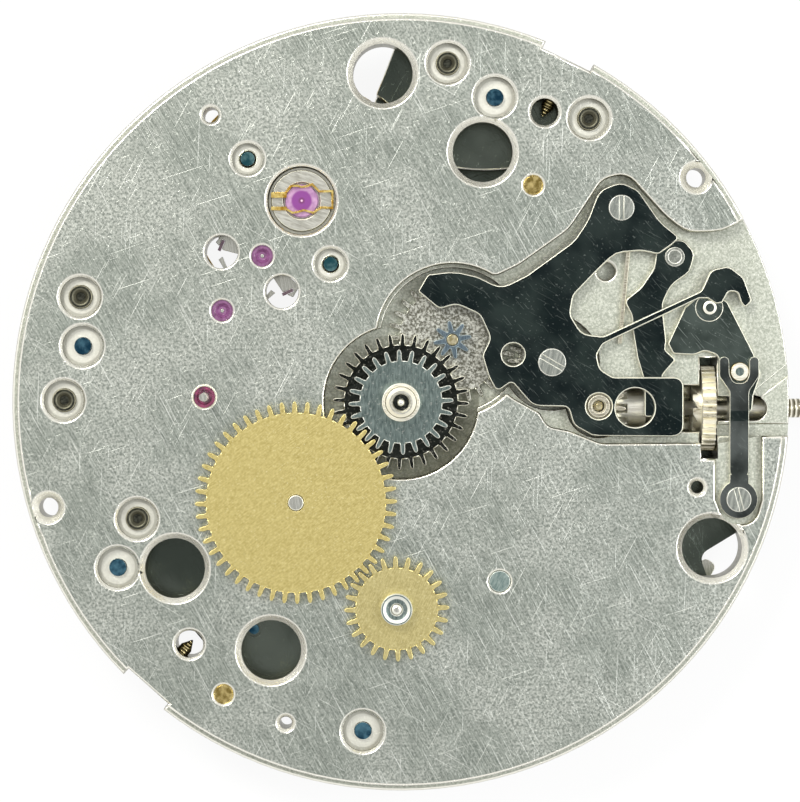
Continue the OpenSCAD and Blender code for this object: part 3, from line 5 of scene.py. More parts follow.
import bpy
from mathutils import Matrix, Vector

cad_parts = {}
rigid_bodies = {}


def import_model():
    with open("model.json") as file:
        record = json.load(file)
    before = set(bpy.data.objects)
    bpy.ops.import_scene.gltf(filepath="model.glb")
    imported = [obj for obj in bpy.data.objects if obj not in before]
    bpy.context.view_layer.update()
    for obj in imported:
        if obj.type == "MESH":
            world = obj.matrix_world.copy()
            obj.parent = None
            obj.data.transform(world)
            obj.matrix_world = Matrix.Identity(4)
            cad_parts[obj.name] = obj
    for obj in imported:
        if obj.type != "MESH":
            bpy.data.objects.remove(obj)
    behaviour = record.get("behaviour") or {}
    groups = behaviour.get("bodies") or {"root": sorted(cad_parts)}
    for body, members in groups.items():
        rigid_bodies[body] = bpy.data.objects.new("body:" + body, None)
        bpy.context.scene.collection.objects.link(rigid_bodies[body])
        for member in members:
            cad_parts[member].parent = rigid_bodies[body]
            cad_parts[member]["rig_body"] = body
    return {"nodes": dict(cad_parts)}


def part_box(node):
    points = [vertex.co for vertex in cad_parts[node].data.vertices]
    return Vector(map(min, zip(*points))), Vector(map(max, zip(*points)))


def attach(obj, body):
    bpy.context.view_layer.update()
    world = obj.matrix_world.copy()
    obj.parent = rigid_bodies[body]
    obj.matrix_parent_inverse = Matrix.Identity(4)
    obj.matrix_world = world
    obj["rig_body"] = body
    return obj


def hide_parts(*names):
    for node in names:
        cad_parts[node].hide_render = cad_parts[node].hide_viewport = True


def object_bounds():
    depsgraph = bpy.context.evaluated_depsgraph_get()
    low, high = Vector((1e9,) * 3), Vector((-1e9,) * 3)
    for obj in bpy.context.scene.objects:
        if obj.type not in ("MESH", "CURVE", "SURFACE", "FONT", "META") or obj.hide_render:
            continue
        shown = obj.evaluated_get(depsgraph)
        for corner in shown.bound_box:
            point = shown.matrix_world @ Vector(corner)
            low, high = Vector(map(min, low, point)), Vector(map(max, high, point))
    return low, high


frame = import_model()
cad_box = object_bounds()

MM = 0.001
scene = bpy.context.scene
nodes = frame["nodes"]

# Axes of the movement in the dial plane, in millimetres
CENTRE = (0.0, 0.0)
BALANCE = (-4.67, 9.46)
THIRD = (-5.35, -2.37)
FOURTH = (-9.23, 0.23)
BARREL = (4.63, -8.42)
DETENT = (14.5, 4.43)
LEVER_AXLE = (15.92, 1.42)

# Heights over the dial face and radii where a finish changes, in millimetres
CASING_STEP = -0.45
RECESS_FLOOR = -0.8
LEVER_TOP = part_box("yoke")[1].z / MM
LEAF_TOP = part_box("setting_lever_jumper")[1].z / MM
UPPER_TEETH = 0.15
HOUR_TUBE = 0.43
CASING_EDGE = 18.3
FOOT_SCREW_HEAD = 17.2
STEADY_COUNTERBORE = 0.94


# Colours and node materials

def linear(hex_colour):
    """An sRGB hex colour as linear RGBA."""
    parts = [int(hex_colour[i:i + 2], 16) / 255 for i in (1, 3, 5)]
    return [c / 12.92 if c <= 0.04045 else ((c + 0.055) / 1.055) ** 2.4 for c in parts] + [1.0]


def add(tree, kind, inputs=None, **settings):
    """One shader node with its settings, its values and its links."""
    made = tree.nodes.new(kind)
    for name, value in settings.items():
        setattr(made, name, value)
    for name, value in (inputs or {}).items():
        if isinstance(value, bpy.types.NodeSocket):
            tree.links.new(value, made.inputs[name])
        else:
            made.inputs[name].default_value = value
    return made


def new_material(name):
    """An empty node material with its output and principled shader."""
    material = bpy.data.materials.new(name)
    material.use_nodes = True
    tree = material.node_tree
    tree.nodes.clear()
    output = add(tree, "ShaderNodeOutputMaterial")
    shader = add(tree, "ShaderNodeBsdfPrincipled")
    tree.links.new(shader.outputs[0], output.inputs[0])
    return material, tree, shader


def link(tree, source, shader, socket):
    tree.links.new(source, shader.inputs[socket])


def ramp(tree, fac, low, high, to_low=0.0, to_high=1.0, smooth=True):
    """A value carried from one range to another, clamped."""
    return add(tree, "ShaderNodeMapRange", {
        "Value": fac, "From Min": low, "From Max": high, "To Min": to_low, "To Max": to_high,
    }, interpolation_type="SMOOTHSTEP" if smooth else "LINEAR").outputs["Result"]


def mix(tree, fac, a, b):
    """Two colours mixed by a factor."""
    made = tree.nodes.new("ShaderNodeMix")
    made.data_type = "RGBA"
    for socket, value in ((made.inputs[0], fac), (made.inputs[6], a), (made.inputs[7], b)):
        if isinstance(value, bpy.types.NodeSocket):
            tree.links.new(value, socket)
        else:
            socket.default_value = value
    return made.outputs[2]


def calc(tree, operation, *values):
    made = tree.nodes.new("ShaderNodeMath")
    made.operation = operation
    for socket, value in zip(made.inputs, values):
        if isinstance(value, bpy.types.NodeSocket):
            tree.links.new(value, socket)
        else:
            socket.default_value = value
    return made.outputs[0]


def grain(tree, degrees, length_mm, width_mm, detail=3.0, offset=0.0):
    """Stretched noise: streaks of that length and width, running at that angle in the dial plane."""
    where = add(tree, "ShaderNodeTexCoord").outputs["Object"]
    turned = add(tree, "ShaderNodeMapping", {
        "Vector": where, "Rotation": (0, 0, -math.radians(degrees)),
        "Location": (offset, offset * 0.7, 0)}, vector_type="POINT").outputs[0]
    scaled = add(tree, "ShaderNodeMapping", {
        "Vector": turned, "Scale": (1 / (length_mm * MM), 1 / (width_mm * MM), 1 / (length_mm * MM))},
        vector_type="POINT").outputs[0]
    return add(tree, "ShaderNodeTexNoise", {
        "Vector": scaled, "Scale": 1.0, "Detail": detail, "Roughness": 0.6}).outputs[0]


def speckle(tree, size_mm, detail=2.0):
    """Plain noise with features of that size."""
    where = add(tree, "ShaderNodeTexCoord").outputs["Object"]
    return add(tree, "ShaderNodeTexNoise", {
        "Vector": where, "Scale": 1 / (size_mm * MM), "Detail": detail,
        "Roughness": 0.6}).outputs[0]


def dashes(tree, degrees, length_mm, width_mm, cover, offset):
    """Separate straight marks at one angle: only the crests of stretched noise."""
    crest = grain(tree, degrees, length_mm, width_mm, 1.0, offset)
    return ramp(tree, crest, 0.72 - cover, 0.79 - cover)


def marks_all_ways(tree, length_mm, width_mm, cover, seed):
    """Handling marks that cross each other, more of them along the brushing than across it."""
    crossing = []
    ways = ((118, 0.03), (62, 0.0), (18, -0.01), (150, 0.01), (88, 0.0))
    for k, (degrees, more) in enumerate(ways):
        crossing.append(dashes(tree, degrees, length_mm, width_mm, cover + more, seed + 0.173 * k))
    total = crossing[0]
    for one in crossing[1:]:
        total = calc(tree, "MAXIMUM", total, one)
    return total


def facing(tree):
    """How far each face is turned from the dial plane: 1 flat, 0 a wall. Bevels lie between."""
    normal = add(tree, "ShaderNodeNewGeometry").outputs["True Normal"]
    return add(tree, "ShaderNodeSeparateXYZ", {"Vector": normal}).outputs["Z"]


def flatness(tree, low=0.9, high=0.985):
    """1 on faces square to the dial plane, 0 on walls and bevels."""
    return ramp(tree, calc(tree, "ABSOLUTE", facing(tree)), low, high)


def rough_edges(tree, rough):
    """Roughness of a piece whose broken edges were stoned: they scatter the light from above."""
    flat = flatness(tree, 0.9, 0.99)
    return calc(tree, "MAXIMUM", rough, ramp(tree, flat, 0, 1, 0.5, 0.0))


def bump(tree, height, distance_mm, strength=1.0, normal=None):
    inputs = {"Height": height, "Distance": distance_mm * MM, "Strength": strength}
    if normal:
        inputs["Normal"] = normal
    return add(tree, "ShaderNodeBump", inputs).outputs[0]


# Counterbores of the dial face: centre and radius, in millimetres
HOLLOWS = (
    (-14.96, 2.63, 0.95), (4.41, 14.32, 0.95), (-13.31, -7.78, 0.95), (-1.79, -15.46, 0.95),
    (-15.07, 4.94, STEADY_COUNTERBORE), (-15.84, 0.08, STEADY_COUNTERBORE),
    (2.19, 15.92, STEADY_COUNTERBORE), (8.84, 13.32, STEADY_COUNTERBORE),
    (-12.39, -5.49, STEADY_COUNTERBORE), (-7.21, 11.42, 0.73), (-3.31, 6.48, 0.73),
)
POLISHED_FLOOR = (*CENTRE, 3.65)


def in_dial_plane(tree, place):
    """A place with its height taken off."""
    return add(tree, "ShaderNodeVectorMath", {0: place, 1: (1, 1, 0)},
               operation="MULTIPLY").outputs[0]


def apart(tree, place, x, y, radius):
    """Distance from an axis as a share of the radius, in the dial plane."""
    flat = in_dial_plane(tree, place)
    away = add(tree, "ShaderNodeVectorMath", {0: flat, 1: (x * MM, y * MM, 0)},
               operation="DISTANCE").outputs["Value"]
    return calc(tree, "DIVIDE", away, radius * MM)


def painted_reflections_and_counterbores(tree):
    """Painted reflections on the floors: a dark ring just inside each counterbore's wall, painted as the
    wall mirrored in the floor, and a dark patch on the flat-polished floor round the centre, painted as
    a dark room mirrored there. Also where the counterbores are."""
    place = add(tree, "ShaderNodeTexCoord").outputs["Object"]
    nearest = None
    for x, y, radius in HOLLOWS:
        one = apart(tree, place, x, y, radius)
        nearest = calc(tree, "MINIMUM", nearest, one) if nearest else one
    inside = ramp(tree, nearest, 1.01, 1.03, 1, 0)
    # Painted reflection: the floor darkened in a ring along the inside of each counterbore's wall
    ring = calc(tree, "MULTIPLY", ramp(tree, nearest, 0.80, 0.87), inside)
    axes = add(tree, "ShaderNodeSeparateXYZ", {"Vector": place}).outputs
    # Painted reflection: the deep floor round the centre, towards the lower right, darkened as a dark room
    # mirrored in it
    low = calc(tree, "MULTIPLY", ramp(tree, axes["Z"], -1.2 * MM, -1.25 * MM),
               ramp(tree, calc(tree, "SUBTRACT", axes["X"], axes["Y"]), 0.5 * MM, 2.5 * MM))
    dark = calc(tree, "MULTIPLY", low, ramp(tree, apart(tree, place, *POLISHED_FLOOR), 1.0, 1.02, 1, 0))
    # Both painted reflections together, as one darkening of the floor
    shade = calc(tree, "MAXIMUM", calc(tree, "MULTIPLY", ring, 0.3),
                 calc(tree, "MULTIPLY", dark, 0.6))
    return shade, inside


def plated_plate():
    """Nickel-plated brass, straight-brushed and then much handled.

    A mottled silver grey, slightly warm, under steep brush lines, short crossing marks and
    fine white specks. Recess floors are grit-frosted and paler, with painted dark reflections
    beside the counterbore walls and round the centre. Walls are painted dark, a painted shade, and
    every bevel near white, a painted highlight. Faces under the plate that look up, on the bridges
    and in deep pockets, are flat-polished and painted darker, a painted shade."""
    material, tree, shader = new_material("nickel_plated_brass_brushed")
    where = add(tree, "ShaderNodeSeparateXYZ", {
        "Vector": add(tree, "ShaderNodeTexCoord").outputs["Object"]}).outputs
    brush = grain(tree, 120, 1.1, 0.06, 4.0)
    mottle = speckle(tree, 0.12, 3.0)
    cloud = speckle(tree, 5.5, 3.0)
    specks = ramp(tree, speckle(tree, 0.13, 2.0), 0.60, 0.70)
    short = marks_all_ways(tree, 0.5, 0.06, 0.04, 0.11)
    long = marks_all_ways(tree, 4.0, 0.05, 0.02, 0.57)
    brushed = mix(tree, ramp(tree, brush, 0.36, 0.68), linear("#7C847B"), linear("#B0B6AC"))
    grained = mix(tree, ramp(tree, mottle, 0.34, 0.64), linear("#8A9088"), linear("#D6D9CF"))
    corner = ramp(tree, calc(tree, "SUBTRACT", where["Y"], where["X"]), 18 * MM, 26 * MM, 0.0, 0.35)
    haze = calc(tree, "MAXIMUM", ramp(tree, cloud, 0.4, 0.62, 0.25, 0.85), corner)
    face = mix(tree, haze, brushed, grained)
    face = mix(tree, calc(tree, "MULTIPLY", specks, 0.5), face, linear("#EEF0E6"))
    face = mix(tree, calc(tree, "MULTIPLY", short, 0.4), face, linear("#EDEFE5"))
    face = mix(tree, calc(tree, "MULTIPLY", long, 0.7), face, linear("#F6F7EF"))
    frost_grit = speckle(tree, 0.11, 3.0)
    frost = mix(tree, ramp(tree, frost_grit, 0.34, 0.68), linear("#A9AD9F"), linear("#CFD1C4"))
    frost = mix(tree, calc(tree, "MULTIPLY", ramp(tree, speckle(tree, 0.09, 1.0), 0.62, 0.7), 0.5),
                frost, linear("#F3F3E9"))
    shade, inside = painted_reflections_and_counterbores(tree)
    frost = mix(tree, calc(tree, "MULTIPLY", inside, 0.75), frost, linear("#ECEADF"))
    # Painted reflections: the floors darkened to a dark olive beside the counterbore walls and round the
    # centre
    frost = mix(tree, shade, frost, linear("#5C5C48"))
    in_recess = ramp(tree, where["Z"], -0.12 * MM, -0.2 * MM)
    colour = mix(tree, in_recess, face, frost)
    up = facing(tree)
    # Painted shade: up-facing faces more than 1.5 mm under the dial face, deep in the movement, are
    # painted darker; they are also less rough
    under = calc(tree, "MULTIPLY", ramp(tree, where["Z"], -1.5 * MM, -1.7 * MM),
                 ramp(tree, up, 0.3, 0.5))
    colour = mix(tree, under, colour, mix(tree, ramp(tree, cloud, 0.35, 0.65), linear("#474E47"),
                                          linear("#666D64")))
    slope = calc(tree, "ABSOLUTE", up)
    # Painted shade and highlight: walls painted dark and bevels painted near white, by the slope of each
    # face
    edge = mix(tree, ramp(tree, slope, 0.22, 0.4), linear("#77745F"), linear("#FAF8EC"))
    flat = flatness(tree)
    link(tree, mix(tree, flat, edge, colour), shader, "Base Color")
    rough = calc(tree, "MULTIPLY_ADD", in_recess, 0.12, ramp(tree, brush, 0.2, 0.8, 0.32, 0.46, False))
    rough = calc(tree, "MULTIPLY", rough, ramp(tree, under, 0, 1, 1, 0.4))
    link(tree, calc(tree, "MULTIPLY", rough, ramp(tree, flat, 0, 1, 0.62, 1)), shader, "Roughness")
    shader.inputs["Metallic"].default_value = 1.0
    worn = bump(tree, calc(tree, "ADD", brush, mottle), 0.006, 0.45)
    worn = bump(tree, calc(tree, "MAXIMUM", short, long), -0.006, 0.4, worn)
    link(tree, worn, shader, "Normal")
    return material


def black_polish(name="black_polished_steel", wear=0.3, tone=("#222C2D", "#3F4A47")):
    """Hardened steel, flat-polished on tin, with bevelled edges.

    The flats are painted near black, a painted reflection of a dark room, mottled and with a few fine
    marks and dust; the bevels are painted near white, a painted highlight."""
    material, tree, shader = new_material(name)
    marks = calc(tree, "MAXIMUM", dashes(tree, -50, 0.9, 0.04, 0.05, 0.21),
                 dashes(tree, -28, 1.6, 0.035, 0.03, 0.57))
    dust = ramp(tree, speckle(tree, 0.11, 1.0), 0.68, 0.74)
    # Painted reflection: the flats mottled between two dark tones, a dark room mirrored in the polish
    dark_reflection_and_marks = mix(tree, ramp(tree, speckle(tree, 2.6, 3.0), 0.35, 0.68), linear(tone[0]), linear(tone[1]))
    dark_reflection_and_marks = mix(tree, calc(tree, "MULTIPLY", calc(tree, "MAXIMUM", marks, dust), wear), dark_reflection_and_marks,
                linear("#B6BFB8"))
    # Painted highlight: every face turned from the dial plane, the bevels, painted near white
    link(tree, mix(tree, flatness(tree, 0.93, 0.995), linear("#F2F0DF"), dark_reflection_and_marks), shader, "Base Color")
    shader.inputs["Metallic"].default_value = 1.0
    polish = ramp(tree, speckle(tree, 0.5, 2.0), 0.3, 0.7, 0.14, 0.24, False)
    link(tree, rough_edges(tree, polish), shader, "Roughness")
    link(tree, bump(tree, marks, 0.002, 0.3), shader, "Normal")
    return material


def turned_steel(name, dark, light, edge, degrees, length, width, rough=0.3, flat_low=0.93):
    """Steel, ground along one direction on its flats, with fine specks of the edge colour; bevels and
    walls are painted in the edge colour, a painted highlight.
    """
    material, tree, shader = new_material(name)
    streak = grain(tree, degrees, length, width, 3.0)
    colour = mix(tree, ramp(tree, streak, 0.3, 0.7), linear(dark), linear(light))
    colour = mix(tree, calc(tree, "MULTIPLY", ramp(tree, speckle(tree, 0.12, 2.0), 0.6, 0.7), 0.35),
                 colour, linear(edge))
    # Painted highlight: bevels and walls take the edge colour
    link(tree, mix(tree, flatness(tree, flat_low, 0.99), linear(edge), colour), shader, "Base Color")
    shader.inputs["Metallic"].default_value = 1.0
    ground = ramp(tree, streak, 0.2, 0.8, rough - 0.05, rough + 0.08, False)
    link(tree, rough_edges(tree, ground), shader, "Roughness")
    link(tree, bump(tree, streak, 0.003, 0.35), shader, "Normal")
    return material


def frosted_steel():
    """Steel wheel with a fine grit-blasted face: crisp salt-and-pepper sparkle."""
    material, tree, shader = new_material("grit_blasted_steel")
    grit = speckle(tree, 0.10, 3.0)
    colour = mix(tree, ramp(tree, grit, 0.38, 0.66), linear("#6B6A5E"), linear("#D9D9CE"))
    # Painted highlight: bevels and walls painted pale
    link(tree, mix(tree, flatness(tree), linear("#D8D8C8"), colour), shader, "Base Color")
    shader.inputs["Metallic"].default_value = 1.0
    shader.inputs["Roughness"].default_value = 0.42
    link(tree, bump(tree, grit, 0.02, 0.6), shader, "Normal")
    return material


def brushed_brass(name, degrees, dark, light):
    """Rolled brass sheet, straight-grained by emery, unlacquered.

    Short warm streaks with tiny bright pits; the tooth edges carry a painted highlight, a pale gold on
    every face turned from the dial plane."""
    material, tree, shader = new_material(name)
    streak = calc(tree, "MULTIPLY_ADD", grain(tree, degrees, 0.4, 0.05, 4.0), 0.55,
                  calc(tree, "MULTIPLY", speckle(tree, 0.11, 3.0), 0.45))
    pits = ramp(tree, speckle(tree, 0.08, 2.0), 0.62, 0.72)
    colour = mix(tree, ramp(tree, streak, 0.32, 0.68), linear(dark), linear(light))
    colour = mix(tree, calc(tree, "MULTIPLY", pits, 0.5), colour, linear("#F2EABF"))
    # Painted highlight: faces turned from the dial plane painted pale gold
    link(tree, mix(tree, flatness(tree, 0.92, 0.99), linear("#EADB9C"), colour), shader, "Base Color")
    shader.inputs["Metallic"].default_value = 1.0
    link(tree, ramp(tree, streak, 0.2, 0.8, 0.34, 0.5, False), shader, "Roughness")
    link(tree, bump(tree, streak, 0.005, 0.5), shader, "Normal")
    return material


def gilt(name, deep, pale):
    """Brass or steel with a thin gold wash, turned and left semi-bright."""
    material, tree, shader = new_material(name)
    tone = speckle(tree, 0.25, 3.0)
    link(tree, mix(tree, ramp(tree, tone, 0.3, 0.7), linear(deep), linear(pale)), shader, "Base Color")
    shader.inputs["Metallic"].default_value = 1.0
    link(tree, ramp(tree, tone, 0.3, 0.7, 0.2, 0.34, False), shader, "Roughness")
    link(tree, bump(tree, tone, 0.003, 0.3), shader, "Normal")
    return material


def heat_tinted(name, deep, pale, edge):
    """Polished steel tempered to an oxide colour, patchy where the heat varied; bevels and walls painted
    in the edge colour, a painted highlight.
    """
    material, tree, shader = new_material(name)
    patch = speckle(tree, 0.5, 3.0)
    colour = mix(tree, ramp(tree, patch, 0.35, 0.68), linear(deep), linear(pale))
    # Painted highlight: bevels and walls take the edge colour
    link(tree, mix(tree, flatness(tree, 0.85, 0.99), linear(edge), colour), shader, "Base Color")
    shader.inputs["Metallic"].default_value = 1.0
    link(tree, ramp(tree, patch, 0.2, 0.8, 0.16, 0.3, False), shader, "Roughness")
    link(tree, bump(tree, patch, 0.002, 0.3), shader, "Normal")
    return material


def jewel(name, deep, bright, centre=None, core=None):
    """Flame-grown ruby, polished: clear depth with a hard bright surface.

    With a centre, the olive of a cap jewel: a deep core, a paler ring and a bright point."""
    material, tree, shader = new_material(name)
    depth = speckle(tree, 0.3, 2.0)
    colour = mix(tree, ramp(tree, depth, 0.3, 0.7), linear(deep), linear(bright))
    if centre:
        place = add(tree, "ShaderNodeTexCoord").outputs["Object"]
        offset = add(tree, "ShaderNodeVectorMath", {
            0: place, 1: (centre[0] * MM, centre[1] * MM, 0)}, operation="SUBTRACT").outputs[0]
        flat = in_dial_plane(tree, offset)
        radius = add(tree, "ShaderNodeVectorMath", {0: flat}, operation="LENGTH").outputs["Value"]
        colour = mix(tree, ramp(tree, radius, 0.42 * MM, 0.54 * MM), linear(core), colour)
        colour = mix(tree, ramp(tree, radius, 0.10 * MM, 0.20 * MM), linear("#6E2C66"), colour)
        colour = mix(tree, ramp(tree, radius, 0.03 * MM, 0.07 * MM), linear("#E3B9CE"), colour)
    link(tree, colour, shader, "Base Color")
    link(tree, ramp(tree, depth, 0.3, 0.7, 0.04, 0.1, False), shader, "Roughness")
    shader.inputs["IOR"].default_value = 1.76
    shader.inputs["Coat Weight"].default_value = 0.4
    return material


def cut_thread(name, dark, light, along, pitch_mm):
    """Turned steel with a screw thread: fine bands square to the screw, painted bright on the crests as a
    painted highlight and dark in the grooves as painted shade.
    """
    material, tree, shader = new_material(name)
    place = add(tree, "ShaderNodeTexCoord").outputs["Object"]
    if along == "radius":
        flat = in_dial_plane(tree, place)
        way = add(tree, "ShaderNodeVectorMath", {0: flat}, operation="LENGTH").outputs["Value"]
    else:
        way = add(tree, "ShaderNodeSeparateXYZ", {"Vector": place}).outputs[along]
    turns = calc(tree, "SINE", calc(tree, "MULTIPLY", way, 2 * math.pi / (pitch_mm * MM)))
    # Painted highlight and shade: light colour on the thread's crests, dark colour in its grooves
    tone = mix(tree, ramp(tree, turns, -0.5, 0.6), linear(dark), linear(light))
    link(tree, mix(tree, calc(tree, "MULTIPLY", speckle(tree, 0.12, 2.0), 0.25), tone, linear(light)),
         shader, "Base Color")
    shader.inputs["Metallic"].default_value = 1.0
    link(tree, ramp(tree, turns, -1, 1, 0.4, 0.22, False), shader, "Roughness")
    link(tree, bump(tree, turns, 0.03, 0.7), shader, "Normal")
    return material


PLATE = plated_plate()
# Black polished steels: the two tones are the painted reflection of a dark room on the flats
BLACK = black_polish()
BLACK_WORN = black_polish("black_polished_steel_marked", 0.6, ("#39443F", "#66716B"))
SATIN_BLACK = black_polish("leaf_steel_flat_polished", 0.3, ("#3D4240", "#757B78"))
# Turned steels: the third colour of each is painted on its bevels and walls, a painted highlight
BLUE_GREY = turned_steel("ground_steel_blue_grey", "#647370", "#8F9D98", "#E5E6DC", 90, 0.4, 0.09)
LEAF_BLUE = turned_steel("pinion_steel_blue_grey", "#5B6B75", "#7F909A", "#A9B6BA", 90, 0.6, 0.06)
DARK_STEEL = turned_steel("dark_polished_steel", "#20231F", "#383B37", "#F1EEDD", 20, 3.0, 0.2, 0.2)
BRIGHT = turned_steel("polished_steel_bright", "#BDBDB3", "#E6E6DC", "#F6F5EA", 100, 0.8, 0.05, 0.2)
SHOCK_STEEL = turned_steel("turned_steel_satin", "#C3C1B4", "#E3E2D7", "#F2EFDC", 160, 0.5, 0.08, 0.3)
PALE_HEAD = turned_steel("screw_steel_flat_polished", "#9DA39B", "#CDD1C7", "#F6F5EA", 75, 1.2, 0.12, 0.22)
FROST_HEAD = turned_steel("screw_steel_frosted", "#8F938A", "#BDC0B5", "#F6F5EA", 40, 0.15, 0.12, 0.3)
WARM_STEEL = turned_steel("turned_steel_warm", "#B3AC96", "#EDE8D4", "#F8F4E2", 0, 0.5, 0.06, 0.22)
# The stem's steel is painted near white all over, a painted highlight, with a rough satin surface
STEM_STEEL_HIGHLIGHT = turned_steel("stem_steel_painted_highlight", "#D9D5C6", "#FBF9EE", "#FFFDF3", 0, 0.8, 0.08, 0.38)
CREAM = turned_steel("turned_steel_cream", "#E4DFCC", "#FFFCEC", "#FFFCEE", 0, 0.5, 0.06, 0.4)
TARNISHED = turned_steel("brass_pin_tarnished", "#3C3C31", "#5F5D4D", "#A9A58E", 30, 0.3, 0.08, 0.3)
ARBOR = turned_steel("arbor_steel_pale_blue", "#8AA09B", "#B3C4BD", "#E2E8DF", 60, 0.4, 0.1, 0.28)
TOOTH_GILT = turned_steel("tooth_steel_gilt", "#B9AF90", "#F9F4E0", "#FFFBEA", 0, 0.3, 0.05, 0.28)
FROSTED = frosted_steel()
BRASS_BIG = brushed_brass("rolled_brass_grained", 38, "#BFAE69", "#DDCE8E")
BRASS_SMALL = brushed_brass("rolled_brass_grained_steep", 65, "#B8AA70", "#D8CC94")
BRASS_TRAIN = brushed_brass("train_brass_circular", 10, "#B29A52", "#D9C27F")
GILT = gilt("gold_washed_brass", "#A98434", "#DCC072")
GOLD = gilt("gold_plated_spring_steel", "#C9962B", "#FBE38F")
PLUG = gilt("brass_plug_worn", "#8F7A3C", "#D8C384")
PALE_GILT = gilt("brass_post_pale", "#A99C6E", "#E6DDBC")
# Heat-tinted steels: the third colour of each is the painted highlight on bevels and walls
BLUED = heat_tinted("heat_blued_steel", "#1F4459", "#5B8799", "#C9D3CE")
TURQUOISE = heat_tinted("heat_tinted_pale_blue_steel", "#2C5C64", "#7CA3A3", "#D9DED3")
SPRING_BLUE = heat_tinted("blued_spring_steel", "#16263F", "#35507B", "#6F86A8")
RUBY = jewel("synthetic_ruby_polished", "#551A3B", "#93365F")
VIOLET = jewel("synthetic_ruby_violet", "#6A3A62", "#8D5A86")
# Its third colour is likewise the painted highlight on bevels and walls
PIN_FACE = turned_steel("brass_pin_end_blackened", "#2E2F29", "#55564C", "#6E6C5C", 30, 0.15, 0.1, 0.3)
CAP = jewel("cap_jewel_violet", "#9E729C", "#BC93B6", BALANCE, "#7F3484")
STONE = jewel("pallet_stone_pink", "#A9709C", "#DDB4CF")
THREAD = cut_thread("crown_thread_steel", "#77715E", "#F5F0DF", "X", 0.225)
TIP_THREAD = cut_thread("foot_screw_thread", "#5E5432", "#E3D3A0", "radius", 0.15)


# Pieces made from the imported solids: merged, cleaned, bevelled

def pick_only(obj):
    bpy.ops.object.select_all(action="DESELECT")
    obj.select_set(True)
    bpy.context.view_layer.objects.active = obj


def outer_arrises(mesh, degrees):
    """The edges that stand out, where two faces meet at more than that angle, each with its turn."""
    sides = {}
    for face in mesh.polygons:
        corners = list(face.vertices)
        for a, b in zip(corners, corners[1:] + corners[:1]):
            sides.setdefault((min(a, b), max(a, b)), []).append((face, a, b))
    limit = math.cos(math.radians(degrees))
    found = []
    for edge in mesh.edges:
        pair = sides.get((min(edge.vertices), max(edge.vertices)), [])
        if len(pair) != 2:
            continue
        (one, a, b), (other, _, _) = pair
        if one.normal.dot(other.normal) > limit:
            continue
        along = mesh.vertices[b].co - mesh.vertices[a].co
        if other.normal.cross(-along).dot(one.normal) < 0:
            found.append((edge, one.normal.angle(other.normal, 0.0)))
    return found


def edge_broken(node, width_mm, material, share=None, angle=32, clamp=True):
    """A node's own solid with its outer arrises broken, as a hand finisher leaves them.

    The share gives each arris's part of the width, from an end's place and the turn between
    its faces; without it every arris has the full width."""
    source = nodes[node]
    mesh = source.data.copy()
    obj = bpy.data.objects.new(node + "_finished", mesh)
    scene.collection.objects.link(obj)
    pick_only(obj)
    if mesh.has_custom_normals:
        bpy.ops.mesh.customdata_custom_splitnormals_clear()
    bpy.ops.object.mode_set(mode="EDIT")
    bpy.ops.mesh.select_mode(type="EDGE")
    bpy.ops.mesh.select_all(action="SELECT")
    bpy.ops.mesh.remove_doubles(threshold=0.0006 * MM)
    bpy.ops.mesh.dissolve_limited(angle_limit=math.radians(0.6))
    bpy.ops.mesh.select_all(action="DESELECT")
    bpy.ops.object.mode_set(mode="OBJECT")
    groups = {}
    for edge, turn in outer_arrises(mesh, angle):
        ends = [mesh.vertices[k].co / MM for k in edge.vertices]
        weight = min(share(end, turn) for end in ends) if share else 1.0
        if weight > 0:
            groups.setdefault(weight, []).append(edge.index)
    for weight, edges in groups.items():
        for index in edges:
            mesh.edges[index].select = True
        bpy.ops.object.mode_set(mode="EDIT")
        bpy.ops.transform.edge_bevelweight(value=weight)
        bpy.ops.mesh.select_all(action="DESELECT")
        bpy.ops.object.mode_set(mode="OBJECT")
    edge = obj.modifiers.new("broken_edge", "BEVEL")
    edge.width = width_mm * MM
    edge.segments = 1
    edge.limit_method = "WEIGHT"
    edge.use_clamp_overlap = clamp
    edge.harden_normals = True
    bpy.ops.object.shade_smooth_by_angle(angle=math.radians(30))
    bpy.ops.object.modifier_apply(modifier="broken_edge")
    bpy.ops.object.shade_smooth_by_angle(angle=math.radians(30))
    mesh.materials.clear()
    mesh.materials.append(material)
    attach(obj, source["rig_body"])
    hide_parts(node)
    return obj


def dress(node, material):
    """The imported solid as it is, with its own finish."""
    mesh = nodes[node].data
    mesh.materials.clear()
    mesh.materials.append(material)


